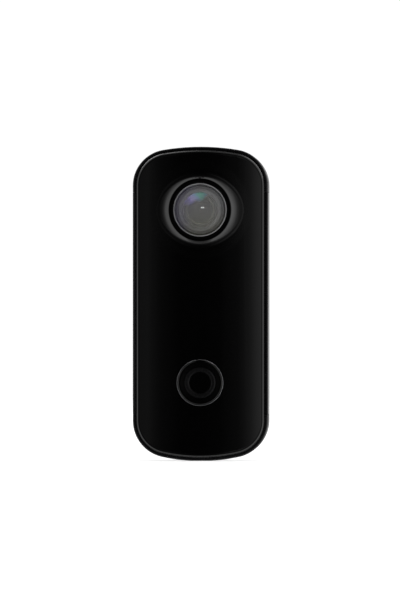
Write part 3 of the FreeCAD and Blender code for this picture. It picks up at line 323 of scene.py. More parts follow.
def sheet_metal(name, base, rough, direction=(1.0, 1.0, 14.0), strength=0.12):
    """Rolled sheet: straight brushing, spots of tarnish and brighter bent edges."""
    g = Graph(name)
    brush = g.noise(3.0, 5.0, 0.7, g.place(tuple(1000.0 * d for d in direction)))
    tarnish = g.spread(g.noise(0.5, 5.0, 0.65), 0.5, 0.75, 0.0, 0.6)
    colour = g.blend(brush, tuple(c * 0.82 for c in base), base)
    colour = g.blend(tarnish, colour, tuple(c * 0.68 for c in base))
    edge = g.edge_wear(0.1 * MM)
    colour = g.blend(g.math("MULTIPLY", edge, 0.5), colour, tuple(min(1.0, c * 1.35) for c in base))
    g.principled(
        Base_Color=colour,
        Metallic=1.0,
        Roughness=g.spread(brush, 0.3, 0.7, rough, rough + 0.14),
        Normal=g.bump(brush, strength, 0.004 * MM),
    )
    return g.material


def black_screw(name, base):
    """Black-oxide steel: dull, with a metallic glint on the worn recess edges."""
    g = Graph(name)
    edge = g.edge_wear(0.08 * MM)
    oxide = g.noise(6.0, 4.0)
    worn = g.math("MULTIPLY", edge, g.spread(g.noise(9.0, 3.0), 0.4, 0.6, 0.2, 1.0))
    colour = g.blend(g.spread(oxide, 0.3, 0.7, 0.0, 1.0), base, tuple(c * 1.8 for c in base))
    colour = g.blend(worn, colour, (0.34, 0.34, 0.35))
    g.principled(
        Base_Color=colour,
        Metallic=0.9,
        Roughness=g.spread(oxide, 0.3, 0.7, 0.3, 0.46),
        Normal=g.bump(g.noise(22.0, 3.0), 0.15, 0.004 * MM),
    )
    return g.material


def silicone(name, base, rough=0.55):
    """Soft rubber: matt, slightly dusty, with a light sheen."""
    g = Graph(name)
    dust = g.spread(g.noise(7.0, 5.0, 0.7), 0.55, 0.8, 0.0, 0.35)
    colour = g.blend(dust, base, tuple(min(1.0, c * 2.2 + 0.01) for c in base))
    pores = g.voronoi(16.0, "SMOOTH_F1")
    g.principled(
        Base_Color=colour,
        Roughness=g.spread(g.noise(2.0), 0.3, 0.7, rough - 0.05, rough + 0.08),
        Sheen_Weight=0.15,
        Sheen_Roughness=0.4,
        Normal=g.bump(g.math("ADD", pores, g.noise(30.0)), 0.2, 0.006 * MM),
    )
    return g.material


def circuit_board(name, base):
    """Solder mask over copper: straight tracks in patches of either direction, and gilt vias."""
    g = Graph(name)
    place = g.place()
    xyz = g.parts_of(place)
    cell = g.voronoi(0.45, "F1", place, "Color")
    pick = g.parts_of(cell)
    across = g.math("FRACT", g.math("MULTIPLY", xyz[0], 1.6))
    up = g.math("FRACT", g.math("MULTIPLY", xyz[2], 1.6))
    track_x = g.math("LESS_THAN", g.math("ABSOLUTE", g.math("SUBTRACT", across, 0.5)), 0.13)
    track_z = g.math("LESS_THAN", g.math("ABSOLUTE", g.math("SUBTRACT", up, 0.5)), 0.13)
    choose = g.math("GREATER_THAN", pick[0], 0.5)
    others = g.math("SUBTRACT", 1.0, choose)
    tracks = g.math("ADD", g.math("MULTIPLY", track_x, choose), g.math("MULTIPLY", track_z, others))
    tracks = g.math("MULTIPLY", tracks, g.math("GREATER_THAN", pick[1], 0.25))
    dots = g.math("LESS_THAN", g.voronoi(0.9, "F1", place), 0.16)
    colour = g.blend(g.spread(g.noise(0.6), 0.3, 0.7, 0.0, 1.0), base, tuple(c * 0.8 for c in base))
    copper = (base[0] * 2.5 + 0.01, base[1] * 1.9, base[2] * 1.8)
    colour = g.blend(g.math("MULTIPLY", tracks, 0.75), colour, copper)
    colour = g.blend(dots, colour, (0.75, 0.55, 0.22))
    height = g.math("ADD", tracks, g.math("MULTIPLY", dots, 0.8))
    g.principled(
        Base_Color=colour,
        Metallic=g.math("MULTIPLY", dots, 0.9),
        Roughness=g.spread(g.noise(2.0), 0.3, 0.7, 0.24, 0.36),
        Coat_Weight=0.4,
        Coat_Roughness=0.15,
        Normal=g.bump(height, 0.5, 0.02 * MM),
    )
    return g.material


def chip_package(name, base):
    """Moulded chip: gritty matt epoxy with faint streaks."""
    g = Graph(name)
    grit = g.noise(26.0, 3.0)
    streak = g.wave(3.4, "Z", distortion=1.5)
    colour = g.blend(g.spread(streak, 0.2, 0.8, 0.0, 0.35), base, tuple(c * 1.7 for c in base))
    g.principled(
        Base_Color=colour,
        Roughness=g.spread(grit, 0.3, 0.7, 0.4, 0.62),
        Normal=g.bump(grit, 0.3, 0.006 * MM),
    )
    return g.material


def optical_glass(name, tint):
    """Polished optical glass with an interference coating."""
    g = Graph(name)
    dust = g.math("LESS_THAN", g.voronoi(1.3), 0.02)
    g.principled(
        Base_Color=g.blend(dust, tint, (0.8, 0.8, 0.8)),
        Roughness=g.spread(g.noise(2.0), 0.4, 0.8, 0.0, 0.02),
        Transmission_Weight=1.0,
        IOR=1.6,
        Thin_Film_Thickness=330.0,
        Thin_Film_IOR=1.38,
    )
    return g.material


def foil(name, base):
    """Laminated pouch foil with soft creases."""
    g = Graph(name)
    crease = g.voronoi(0.28, "DISTANCE_TO_EDGE")
    wrinkle = g.noise(0.9, 4.0, 0.6, distortion=1.0)
    height = g.math("ADD", g.spread(crease, 0.0, 0.2, 0.0, 1.0), wrinkle)
    colour = g.blend(wrinkle, tuple(c * 0.85 for c in base), base)
    g.principled(
        Base_Color=colour,
        Metallic=0.95,
        Roughness=g.spread(g.noise(3.0, 4.0), 0.3, 0.7, 0.24, 0.4),
        Normal=g.bump(height, 0.35, 0.06 * MM),
    )
    return g.material


def flex_film(name, base):
    """Amber polyimide with copper lines showing through."""
    g = Graph(name)
    xyz = g.parts_of(g.place())
    lines = g.math("LESS_THAN", g.math("FRACT", g.math("MULTIPLY", xyz[0], 2.2)), 0.55)
    film = g.blend(g.noise(1.5), base, tuple(c * 0.75 for c in base))
    colour = g.blend(g.math("MULTIPLY", lines, 0.6), film, (0.72, 0.36, 0.14))
    g.principled(
        Base_Color=colour,
        Metallic=g.math("MULTIPLY", lines, 0.5),
        Roughness=g.spread(g.noise(4.0), 0.3, 0.7, 0.2, 0.34),
        Coat_Weight=0.5,
        Coat_Roughness=0.1,
        Normal=g.bump(lines, 0.3, 0.01 * MM),
    )
    return g.material


def milky_plastic(name, base):
    """Light-guiding plastic with a little light scattered inside."""
    g = Graph(name)
    haze = g.noise(1.5, 3.0)
    g.principled(
        Base_Color=g.blend(haze, base, tuple(c * 0.9 for c in base)),
        Roughness=g.spread(haze, 0.3, 0.7, 0.2, 0.32),
        Subsurface_Weight=0.3,
        Subsurface_Scale=0.4 * MM,
        Normal=g.bump(g.noise(20.0), 0.1, 0.003 * MM),
    )
    return g.material


def woven_mesh(name, base):
    """Acoustic mesh: two sets of fine threads."""
    g = Graph(name)
    a = g.wave(7.0, "X")
    b = g.wave(7.0, "Y")
    weave = g.math("MAXIMUM", a, b)
    thread = tuple(c * 3.0 for c in base)
    colour = g.blend(g.spread(weave, 0.5, 0.95, 0.0, 1.0), (0.004, 0.004, 0.004), thread)
    g.principled(
        Base_Color=colour,
        Roughness=g.spread(weave, 0.3, 0.9, 0.7, 0.45),
        Sheen_Weight=0.2,
        Normal=g.bump(weave, 0.8, 0.03 * MM),
    )
    return g.material


def glass_over(g, painted_reflection_veil, rough, clear):
    """A glass surface that shows what lies behind it: a veil colour that carries painted reflections, mixed
    with clear glass.
    """
    surface = g.node("ShaderNodeBsdfPrincipled")
    g.feed(surface.inputs["Base Color"], painted_reflection_veil)
    g.feed(surface.inputs["Roughness"], rough)
    surface.inputs["IOR"].default_value = 1.5
    through = g.node("ShaderNodeBsdfTransparent")
    both = g.node("ShaderNodeMixShader")
    g.feed(both.inputs[0], clear)
    g.link(surface.outputs[0], both.inputs[1])
    g.link(through.outputs[0], both.inputs[2])
    g.link(both.outputs[0], g.out.inputs["Surface"])


def cover_glass(name, axis_z):
    """Protective window. Its grey veil is a painted reflection of the studio, warmer lower down, with a
    painted violet reflection at the upper left and a painted highlight on the ground rim.
    """
    g = Graph(name)
    radius = g.radius_from(0.0, axis_z)
    place = g.place(offset=(0, 0, -axis_z))
    xyz = g.parts_of(place)
    # The veil is a painted reflection of the studio: warmer towards the bottom, with a painted violet
    # reflection at the upper left.
    warm = g.spread(xyz[2], 1.0, -3.5, 0.0, 1.0, smooth=True)
    leftward = g.math("ADD", xyz[0], g.math("MULTIPLY", xyz[2], -0.2))
    painted_violet_reflection = g.spread(leftward, -0.6, -3.8, 0.0, 1.0, smooth=True)
    painted_reflection_veil = g.blend(warm, (0.12, 0.12, 0.124), (0.12, 0.12, 0.10))
    painted_reflection_veil = g.blend(painted_violet_reflection, painted_reflection_veil, (0.115, 0.108, 0.15))
    # A painted highlight along the ground rim, strongest at the upper left and lower right; the rim is also
    # rougher and less clear.
    rim = g.math("MULTIPLY", g.spread(radius, 4.96, 5.02, 0.0, 1.0), g.spread(radius, 5.19, 5.14, 0.0, 1.0))
    flank = g.math("ABSOLUTE", g.math("SINE", g.math("ADD", g.math("ARCTAN2", xyz[2], xyz[0]), -0.75)))
    painted_rim_highlight = g.math("MULTIPLY", rim, g.spread(flank, 0.0, 1.0, 0.55, 1.0))
    painted_reflection_veil = g.blend(painted_rim_highlight, painted_reflection_veil, (0.42, 0.42, 0.43))
    smear = g.noise(0.7, 3.0)
    rough = g.math("ADD", g.spread(smear, 0.4, 0.8, 0.01, 0.03), g.math("MULTIPLY", rim, 0.4))
    clear = g.math("MULTIPLY", g.math("SUBTRACT", 1.0, g.math("MULTIPLY", rim, 0.8)), 0.78)
    glass_over(g, painted_reflection_veil, rough, clear)
    return g.material


def front_element_painted_reflections(name, axis_z):
    """Front lens element with painted reflections: a violet to green bloom above the middle is a painted
    reflection of a light in its multi-layer coating, and its grey with faint lighter rings is painted
    reflection too.
    """
    g = Graph(name)
    place = g.place(offset=(0, 0, -axis_z))
    xyz = g.parts_of(place)
    radius = g.radius_from(0.0, axis_z)
    angle = g.math("ARCTAN2", xyz[2], xyz[0])
    wobble = g.math("MULTIPLY", g.math("SUBTRACT", g.noise(0.9, 3.0, vector=place), 0.5), 0.9)
    around = g.math("ADD", angle, wobble)
    reach = g.math("ADD", radius, g.math("MULTIPLY", wobble, 0.7))
    # The bloom is a painted reflection: a patch of coating colours above the middle of the lens.
    along = g.math(
        "MULTIPLY",
        g.spread(around, 1.05, 1.5, 0.0, 1.0, smooth=True),
        g.spread(around, 3.0, 2.1, 0.0, 1.0, smooth=True),
    )
    across = g.math(
        "MULTIPLY",
        g.spread(reach, 1.5, 2.7, 0.0, 1.0, smooth=True),
        g.spread(reach, 3.9, 3.2, 0.0, 1.0, smooth=True),
    )
    painted_reflection_bloom = g.math("MULTIPLY", along, across)
    order = g.math("ADD", g.math("MULTIPLY", around, 0.318), g.math("MULTIPLY", reach, -0.05))
    colours = g.ramp(
        order,
        [
            (0.20, (0.114, 0.154, 0.382)),
            (0.28, (0.085, 0.239, 0.220)),
            (0.38, (0.106, 0.276, 0.202)),
            (0.46, (0.162, 0.239, 0.362)),
            (0.55, (0.287, 0.248, 0.419)),
            (0.64, (0.154, 0.133, 0.362)),
            (0.80, (0.096, 0.085, 0.248)),
        ],
    )
    # Grey with faint lighter rings: painted reflections in the glass.
    rings = g.ramp(
        g.math("DIVIDE", radius, 4.1),
        [
            (0.0, (0.082, 0.082, 0.080)),
            (0.38, (0.089, 0.089, 0.084)),
            (0.42, (0.074, 0.074, 0.072)),
            (0.60, (0.090, 0.090, 0.084)),
            (0.645, (0.133, 0.133, 0.116)),
            (0.69, (0.094, 0.094, 0.089)),
            (0.79, (0.102, 0.102, 0.098)),
            (0.805, (0.146, 0.146, 0.138)),
            (0.83, (0.110, 0.110, 0.109)),
        ],
    )
    glass_over(g, g.blend(painted_reflection_bloom, rings, colours), 0.02, 0.2)
    return g.material


def smoked(name, base):
    """Smoked translucent plastic for light rings and the status window."""
    g = Graph(name)
    haze = g.noise(2.0, 3.0)
    g.principled(
        Base_Color=g.blend(haze, base, tuple(c * 1.4 for c in base)),
        Roughness=g.spread(haze, 0.3, 0.7, 0.12, 0.22),
        Transmission_Weight=0.25,
        IOR=1.5,
        Normal=g.bump(g.noise(14.0), 0.08, 0.003 * MM),
    )
    return g.material


LENS_Z = (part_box("lens_window")[0].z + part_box("lens_window")[1].z) / 2 / MM
BUTTON_Z = (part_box("shutter_button")[0].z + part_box("shutter_button")[1].z) / 2 / MM

MATERIALS = {
    "gloss_shell": gloss_plastic("gloss_shell", (0.0004, 0.0004, 0.00045)),
    "matte_shell": satin_plastic("matte_shell", (0.012, 0.012, 0.013)),
    "frame_metal": painted_metal("frame_metal", (0.004, 0.004, 0.0045)),
    "side_gloss": gloss_plastic("side_gloss", (0.004, 0.004, 0.0045), 0.08),
    "bezel_black": anodised_black("bezel_black", (0.0006, 0.0006, 0.0006), LENS_Z),
    "coated_glass": cover_glass("coated_glass", LENS_Z),
    "lens_glass": optical_glass("lens_glass", (0.96, 0.97, 0.96)),
    "filter_glass": optical_glass("filter_glass", (0.6, 0.9, 0.92)),
    "lens_metal": turned_metal("lens_metal", (0.2, 0.2, 0.2), 0.4, LENS_Z, 0.3),
    "trim_aluminium": turned_metal("trim_aluminium", (0.26, 0.262, 0.27), 0.2, BUTTON_Z),
    "smoke_plastic": smoked("smoke_plastic", (0.006, 0.006, 0.0065)),
    "light_plastic": milky_plastic("light_plastic", (0.82, 0.84, 0.85)),
    "button_plastic": satin_plastic("button_plastic", (0.02, 0.02, 0.022), 0.36),
    "inner_plastic": satin_plastic("inner_plastic", (0.02, 0.02, 0.02), 0.5),
    "connector_plastic": satin_plastic(
        "connector_plastic", (0.62, 0.58, 0.48), 0.45, 20.0, 0.2, (0.8, 0.78, 0.7)
    ),
    "card_plastic": satin_plastic("card_plastic", (0.02, 0.02, 0.022), 0.4, 24.0, 0.25),
    "seal_rubber": silicone("seal_rubber", (0.012, 0.012, 0.012)),
    "circuit_board": circuit_board("circuit_board", (0.006, 0.06, 0.03)),
    "chip_plastic": chip_package("chip_plastic", (0.02, 0.02, 0.02)),
    "chip_ceramic": chip_package("chip_ceramic", (0.1, 0.09, 0.08)),
    "shield_steel": sheet_metal("shield_steel", (0.66, 0.66, 0.67), 0.24),
    "switch_steel": sheet_metal("switch_steel", (0.7, 0.7, 0.69), 0.2),
    "screw_steel": black_screw("screw_steel", (0.03, 0.03, 0.032)),
    "magnet_nickel": sheet_metal("magnet_nickel", (0.72, 0.7, 0.66), 0.1, (1.0, 1.0, 1.0), 0.05),
    "battery_foil": foil("battery_foil", (0.6, 0.61, 0.63)),
    "lead_insulation": silicone("lead_insulation", (0.35, 0.015, 0.012), 0.4),
    "flex_film": flex_film("flex_film", (0.5, 0.22, 0.03)),
    "mesh_fabric": woven_mesh("mesh_fabric", (0.04, 0.04, 0.04)),
    "thermal_pad": silicone("thermal_pad", (0.3, 0.32, 0.35), 0.6),
}
MATERIALS["cover_gloss"] = gloss_plastic("cover_gloss", (0.0004, 0.0004, 0.00045), collar_z=LENS_Z)
MATERIALS["front_element"] = front_element_painted_reflections("front_element_coating_painted_reflections", LENS_Z)
MATERIALS["ring_grey"] = turned_metal("retaining_ring_satin", (0.38, 0.38, 0.38), 0.4, LENS_Z, 0.3)
MATERIALS["gasket_grey"] = silicone("window_gasket_silicone", (0.08, 0.08, 0.08), 0.5)
MATERIALS["door_gloss"] = gloss_plastic("door_gloss", (0.012, 0.012, 0.013), 0.16)
SPECIAL = {
    "front_cover": "cover_gloss",
    "front_element": "front_element",
    "window_gasket": "gasket_grey",
    "port_door": "door_gloss",
    "lens_retaining_ring": "ring_grey",
}


def dress(node, material):
    mesh = NODES[node].data
    mesh.materials.clear()
    mesh.materials.append(material)


for node_name in NODES:
    dress(node_name, MATERIALS[SPECIAL.get(node_name, SLOT_OF[node_name])])


# ---------------------------------------------------------------- turned pieces


def arc_points(centre_y, radius, r0, r1, side, count):
    """Profile points on a sphere about (centre_y, 0) from radius r0 to r1. side -1 is its front."""
    points = []
    for i in range(count + 1):
        r = r0 + (r1 - r0) * i / count
        points.append((centre_y + side * math.sqrt(max(0.0, radius * radius - r * r)), r))
    return points


AROUND = 144  # points round a turned piece


def lathe(name, profile, x, z, body, material):
    """A closed solid of revolution about the Y axis through (x, z). profile is its outline as
    (y, radius) points in millimetres, from the axis at the front round to the axis at the back."""
    bm = bmesh.new()
    rings = []
    for y, r in profile:
        if r < 1e-6:
            rings.append([bm.verts.new((x * MM, y * MM, z * MM))])
            continue
        ring = []
        for i in range(AROUND):
            t = 2 * math.pi * i / AROUND
            ring.append(bm.verts.new(((x + r * math.cos(t)) * MM, y * MM, (z + r * math.sin(t)) * MM)))
        rings.append(ring)
    closed = len(rings[0]) > 1
    pairs = list(zip(rings, rings[1:])) + ([(rings[-1], rings[0])] if closed else [])
    for a, b in pairs:
        for i in range(AROUND):
            j = (i + 1) % AROUND
            if len(a) == 1:
                bm.faces.new((a[0], b[j], b[i]))
            elif len(b) == 1:
                bm.faces.new((a[i], a[j], b[0]))
            else:
                bm.faces.new((a[i], a[j], b[j], b[i]))
    bmesh.ops.recalc_face_normals(bm, faces=bm.faces)
    return as_piece(name, bm, body, material)


def as_piece(name, bm, body, material):
    """Makes a piece from a bmesh, smooth except at edges sharper than 32 degrees."""
    mesh = bpy.data.meshes.new(name)
    bm.to_mesh(mesh)
    bm.free()
    piece = bpy.data.objects.new(name, mesh)
    bpy.context.scene.collection.objects.link(piece)
    mesh.materials.append(material)
    mesh.shade_smooth()
    mesh.set_sharp_from_angle(angle=math.radians(32.0))
    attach(piece, body)
    return piece


def make_lens_glass():
    """Finer copies of the domed window and the front lens element, on the CAD profiles."""
    lo, hi = (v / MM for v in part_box("lens_window"))
    radius, apex, back = (hi.x - lo.x) / 2, lo.y, hi.y
    rise, corner, chamfer = 0.5, 0.12, 0.06
    sphere = (radius**2 + rise**2) / (2 * rise)
    dome = arc_points(apex + sphere, sphere, 0.0, radius - corner, -1, 20)
    top = dome[-1][0]
    bevel = [
        (top + corner * (1 - math.cos(a)), radius - corner + corner * math.sin(a))
        for a in (math.radians(30 * i) for i in range(1, 4))
    ]
    outline = dome + bevel + [(back - chamfer, radius), (back, radius - chamfer), (back, 0.0)]
    glass = MATERIALS["coated_glass"]
    window = lathe("window_glass", outline, 0.0, LENS_Z, "housing", glass)
    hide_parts("lens_window")

    lo, hi = (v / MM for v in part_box("front_element"))
    radius, apex, back = (hi.x - lo.x) / 2, lo.y, hi.y
    front_radius, scoop_radius, scoop_depth, chamfer = 7.5, 3.6, 0.9, 0.08
    dome = arc_points(apex + front_radius, front_radius, 0.0, radius, -1, 24)
    scoop_centre = back - scoop_depth + scoop_radius
    scoop_edge = math.sqrt(scoop_radius**2 - (scoop_centre - back) ** 2)
    scoop = arc_points(scoop_centre, scoop_radius, scoop_edge, 0.0, -1, 14)
    outline = dome + [(back - chamfer, radius), (back, radius - chamfer)] + scoop
    glass = MATERIALS["front_element"]
    element = lathe("front_element_glass", outline, 0.0, LENS_Z, "housing", glass)
    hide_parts("front_element")
    return window, element


# ---------------------------------------------------------------- printed marks and contacts


def flat_shape(bm, outline, y, thick, hole=None):
    """A thin plate in the XZ plane with its back at y. outline and hole are (x, z) points in mm; a
    hole has as many points as the outline, and the plate is then the band between the two."""

    def ring(points, depth):
        return [bm.verts.new((px * MM, depth * MM, pz * MM)) for px, pz in points]

    low, high = ring(outline, y - thick), ring(outline, y)
    count = len(outline)
    if hole is None:
        bm.faces.new(low)
        bm.faces.new(list(reversed(high)))
    else:
        inner_low, inner_high = ring(hole, y - thick), ring(hole, y)
    for i in range(count):
        j = (i + 1) % count
        bm.faces.new((low[i], high[i], high[j], low[j]))
        if hole is not None:
            bm.faces.new((inner_low[j], inner_high[j], inner_high[i], inner_low[i]))
            bm.faces.new((low[i], low[j], inner_low[j], inner_low[i]))
            bm.faces.new((high[j], high[i], inner_high[i], inner_high[j]))


def round_rect(x, z, half_x, half_z, corner):
    """The outline of a rectangle with rounded corners."""
    points, steps = [], 5
    for k, (sx, sz) in enumerate(((1, 1), (-1, 1), (-1, -1), (1, -1))):
        for i in range(steps + 1):
            t = math.radians(90 * k + 90 * i / steps)
            points.append(
                (
                    x + sx * (half_x - corner) + corner * math.cos(t),
                    z + sz * (half_z - corner) + corner * math.sin(t),
                )
            )
    return points


def disc(x, z, radius):
    """The outline of a circle."""
    count = 40
    return [
        (x + radius * math.cos(2 * math.pi * i / count), z + radius * math.sin(2 * math.pi * i / count))
        for i in range(count)
    ]


def arc_band(bm, x, z, radius, width, start, end, y, thick):
    """A band along an arc, from start to end in degrees."""
    outer, inner, steps = [], [], 16
    for i in range(steps + 1):
        t = math.radians(start + (end - start) * i / steps)
        outer.append((x + (radius + width / 2) * math.cos(t), z + (radius + width / 2) * math.sin(t)))
        inner.append((x + (radius - width / 2) * math.cos(t), z + (radius - width / 2) * math.sin(t)))
    for i in range(steps):
        flat_shape(bm, [outer[i], outer[i + 1], inner[i + 1], inner[i]], y, thick)


def printed_ink(name, base):
    """Pad-printed ink: slightly uneven and matt."""
    g = Graph(name)
    speckle = g.noise(14.0, 4.0, 0.7)
    g.principled(
        Base_Color=g.blend(speckle, tuple(c * 0.75 for c in base), base),
        Roughness=g.spread(speckle, 0.3, 0.7, 0.45, 0.6),
        Normal=g.bump(speckle, 0.2, 0.002 * MM),
    )
    return g.material


def gold_plate(name):
    """Gold plating with fine wipe marks."""
    g = Graph(name)
    wipe = g.noise(4.0, 4.0, 0.6, g.place((1000.0, 6000.0, 1000.0)))
    g.principled(
        Base_Color=g.blend(wipe, (0.78, 0.53, 0.2), (0.9, 0.66, 0.3)),
        Metallic=1.0,
        Roughness=g.spread(wipe, 0.3, 0.7, 0.18, 0.3),
        Normal=g.bump(wipe, 0.1, 0.002 * MM),
    )
    return g.material


def make_marks():
    """Small plain symbols on the back: a battery, a wireless fan and a dot on the status window,
    and a rounded square with a dot on the mode button."""
    ink = printed_ink("grey_ink", (0.38, 0.39, 0.4))
    lo, hi = (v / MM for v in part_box("status_window"))
    z, y = (lo.z + hi.z) / 2, hi.y + 0.015
    bm = bmesh.new()
    flat_shape(bm, round_rect(4.1, z, 0.8, 0.45, 0.12), y, 0.012, round_rect(4.1, z, 0.68, 0.33, 0.06))
    flat_shape(bm, round_rect(3.2, z, 0.06, 0.2, 0.03), y, 0.012)
    flat_shape(bm, round_rect(4.36, z, 0.3, 0.2, 0.04), y, 0.012)
    for radius in (0.42, 0.74):
        arc_band(bm, 0.0, z - 0.4, radius, 0.11, 45, 135, y, 0.012)
    flat_shape(bm, disc(0.0, z - 0.36, 0.12), y, 0.012)
    flat_shape(bm, disc(-4.1, z, 0.42), y, 0.012, disc(-4.1, z, 0.31))
    flat_shape(bm, disc(-4.1, z, 0.17), y, 0.012)
    bmesh.ops.recalc_face_normals(bm, faces=bm.faces)
    as_piece("status_symbols", bm, "housing", ink)

    lo, hi = (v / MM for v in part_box("mode_button"))
    z, y = (lo.z + hi.z) / 2, hi.y + 0.012
    bm = bmesh.new()
    flat_shape(bm, round_rect(0.0, z, 0.85, 0.85, 0.3), y, 0.01, round_rect(0.0, z, 0.72, 0.72, 0.2))
    flat_shape(bm, disc(0.0, z, 0.24), y, 0.01)
    bmesh.ops.recalc_face_normals(bm, faces=bm.faces)
    as_piece("mode_symbol", bm, "mode_button", ink)


def make_tongue_contacts():
    """Gold strips along both faces of the charging socket's tongue."""
    lo, hi = (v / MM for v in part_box("usb_tongue"))
    gold = gold_plate("contact_gold")
    count, pitch, width, proud, bevel = 12, 0.26, 0.14, 0.016, 0.004
    start, end = lo.x + 0.25, lo.x + 2.6
    bm = bmesh.new()
    for side, face in ((-1, lo.y), (1, hi.y)):
        for i in range(count):
            z = (lo.z + hi.z) / 2 + (i - (count - 1) / 2) * pitch
            for v in bmesh.ops.create_cube(bm, size=1.0)["verts"]:
                v.co = (
                    ((start + end) / 2 + v.co.x * (end - start)) * MM,
                    (face + side * proud / 2 + v.co.y * proud) * MM,
                    (z + v.co.z * width) * MM,
                )
    bmesh.ops.bevel(bm, geom=bm.edges[:], offset=bevel * MM, segments=1, affect="EDGES")
    as_piece("tongue_contacts", bm, "housing", gold)


make_marks()
make_tongue_contacts()


# ---------------------------------------------------------------- stage, light and camera

# Studio luminance against the angle away from the front, in degrees, seen from the object.
STUDIO_LEFT = [
    (0, 0.01), (13, 0.012), (20, 0.034), (24, 0.05), (27.5, 0.08), (31, 0.13), (36, 0.12),
    (48, 0.045), (61, 0.07), (71, 0.16), (79, 0.42), (88, 1.15), (100, 1.15), (112, 0.5),
    (130, 0.25), (180, 0.45),
]
STUDIO_RIGHT = [
    (0, 0.01), (10, 0.018), (13, 0.034), (20, 0.06), (23, 0.1), (27, 0.2), (30, 0.34),
    (34, 0.5), (40, 0.24), (48, 0.15), (61, 0.24), (71, 0.5), (79, 1.08), (88, 1.5),
    (100, 1.65), (112, 0.5), (130, 0.25), (180, 0.45),
]
STUDIO_ABOVE = [
    (0, 0.01), (20, 0.01), (45, 0.015), (70, 0.04), (79, 0.05), (88, 0.2), (95, 1.0),
    (100, 1.1), (104, 0.1), (125, 0.05), (150, 0.25), (180, 0.45),
]
STUDIO_BELOW = [
    (0, 0.01), (20, 0.015), (45, 0.02), (70, 0.12), (79, 0.4), (88, 0.9), (97, 1.4),
    (103, 1.3), (108, 0.15), (125, 0.05), (150, 0.2), (180, 0.45),
]


def make_floor():
    """A pale floor that reflections don't show."""
    mesh = bpy.data.meshes.new("floor")
    half = 1.6
    corners = [(-half, -half, 0), (half, -half, 0), (half, half, 0), (-half, half, 0)]
    mesh.from_pydata(corners, [], [(0, 1, 2, 3)])
    floor = bpy.data.objects.new("floor", mesh)
    bpy.context.scene.collection.objects.link(floor)
    g = Graph("floor_white")
    grain = g.noise(0.05, 2.0)
    diffuse = g.node("ShaderNodeBsdfDiffuse")
    g.link(g.blend(grain, (0.8, 0.8, 0.8), (0.84, 0.84, 0.84)), diffuse.inputs["Color"])
    glow = g.node("ShaderNodeEmission")
    glow.inputs["Strength"].default_value = 0.78
    both = g.node("ShaderNodeAddShader")
    g.link(diffuse.outputs[0], both.inputs[0])
    g.link(glow.outputs[0], both.inputs[1])
    g.link(both.outputs[0], g.out.inputs["Surface"])
    mesh.materials.append(g.material)
    floor.location.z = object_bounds()[0].z
    floor.visible_glossy = False


def make_world():
    """A studio seen only by the object: dark behind the camera, with its brightest panels beside
    and above the object. The camera itself sees plain white."""
    world = bpy.data.worlds.new("studio")
    bpy.context.scene.world = world
    g = Graph(world=world)
    coord = g.node("ShaderNodeTexCoord")
    x, y, z = g.parts_of(coord.outputs["Generated"])
    off_axis = g.math("DIVIDE", g.math("ARCCOSINE", g.math("MULTIPLY", y, -1.0)), math.pi)

    def panel(stops):
        return g.ramp(off_axis, [(angle / 180.0, (v, v, v)) for angle, v in stops])

    left = panel(STUDIO_LEFT)
    right = panel(STUDIO_RIGHT)
    above = panel(STUDIO_ABOVE)
    below = panel(STUDIO_BELOW)
    level = g.blend(g.spread(x, -0.08, 0.08, 0.0, 1.0, smooth=True), left, right)
    upright = g.blend(g.spread(z, -0.08, 0.08, 0.0, 1.0, smooth=True), below, above)
    xx, zz = g.math("MULTIPLY", x, x), g.math("MULTIPLY", z, z)
    total = g.math("ADD", g.math("ADD", xx, zz), 0.0001)
    env = g.blend(g.math("DIVIDE", zz, total), level, upright)
    studio = g.node("ShaderNodeBackground")
    g.link(env, studio.inputs["Color"])
    white = g.node("ShaderNodeBackground")
    white.inputs["Color"].default_value = (1, 1, 1, 1)
    white.inputs["Strength"].default_value = 1.05
    rays = g.node("ShaderNodeLightPath")
    chosen = g.node("ShaderNodeMixShader")
    g.link(rays.outputs["Is Camera Ray"], chosen.inputs[0])
    g.link(studio.outputs[0], chosen.inputs[1])
    g.link(white.outputs[0], chosen.inputs[2])
    g.link(chosen.outputs[0], g.out.inputs["Surface"])


def only_for(lamp, objects):
    """The lamp lights only these objects."""
    group = bpy.data.collections.new(lamp.name + "_receivers")
    for thing in objects:
        group.objects.link(thing)
    lamp.light_linking.receiver_collection = group


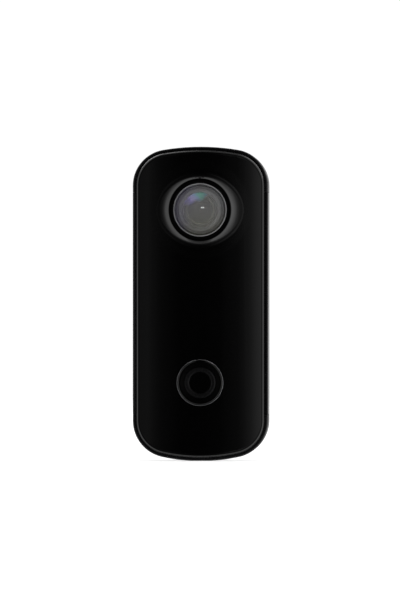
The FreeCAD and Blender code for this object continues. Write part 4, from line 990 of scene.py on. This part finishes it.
def soft_box(name, azimuth, elevation, distance, width, height, radiance, roll=0.0):
    """An area light seen from the lens at that azimuth (0 towards the front, + to the right) and
    elevation in degrees, with its size and distance in metres."""
    light = bpy.data.lights.new(name, "AREA")
    light.shape = "RECTANGLE"
    light.size, light.size_y = width, height
    light.energy = radiance * math.pi * width * height
    lamp = bpy.data.objects.new(name, light)
    bpy.context.scene.collection.objects.link(lamp)
    a, e = math.radians(azimuth), math.radians(elevation)
    way = Vector((math.sin(a) * math.cos(e), -math.cos(a) * math.cos(e), math.sin(e)))
    target = Vector((0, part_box("lens_window")[0].y, LENS_Z * MM))
    lamp.location = target + way * distance
    lamp.rotation_mode = "QUATERNION"
    turn = Matrix.Rotation(math.radians(roll), 4, "Z")
    lamp.rotation_quaternion = (way.to_track_quat("Z", "Y").to_matrix().to_4x4() @ turn).to_quaternion()
    lamp.visible_camera = False
    return lamp


def make_camera():
    """Level and far off, turned a little to the right of straight in front."""
    camera = bpy.data.objects.new("camera", bpy.data.cameras.new("camera"))
    bpy.context.scene.collection.objects.link(camera)
    distance, tall, turn = 1.8, 0.11653, math.radians(1.5)
    camera.data.lens = camera.data.sensor_width * distance / tall
    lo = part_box("mid_frame")[0]
    camera.location = (
        -0.0001 + distance * math.sin(turn),
        lo.y + 0.4 * MM - distance * math.cos(turn),
        lo.z + 31.233 * MM,
    )
    camera.rotation_euler = (math.radians(90), 0, turn)
    camera.data.clip_start, camera.data.clip_end = 0.01, 10.0
    bpy.context.scene.camera = camera


bpy.context.scene.view_settings.view_transform = "Standard"
make_floor()
make_world()
make_camera()
window_piece, element_piece = make_lens_glass()
lens_group = [window_piece, element_piece] + [
    NODES[name] for name in ("lens_retaining_ring", "lens_barrel", "lens_baffle", "middle_element")
]

# The lamps for the lens give its small highlight, and light inside the barrel. The trim ring's
# lamp closes its bright line at the top.
spark = soft_box("spark_light", 6.0, 9.5, distance=0.5, width=0.062, height=0.019, radiance=1150.0, roll=168.0)
fill_left = soft_box("lens_fill_left", -48.0, 35.0, distance=0.5, width=0.25, height=0.25, radiance=5.0)
fill_right = soft_box("lens_fill_right", 55.0, -30.0, distance=0.5, width=0.25, height=0.25, radiance=3.0)
trim = soft_box("trim_light", 0.0, 86.0, distance=0.5, width=0.8, height=0.9, radiance=1.3)
only_for(spark, [element_piece])
only_for(fill_left, lens_group)
only_for(fill_right, lens_group)
only_for(trim, [NODES["shutter_trim_ring"]])
soft_box("back_left_light", -150.0, 35.0, distance=0.9, width=0.6, height=0.6, radiance=1.6)
soft_box("back_right_light", 140.0, 30.0, distance=0.9, width=0.5, height=0.7, radiance=1.2)
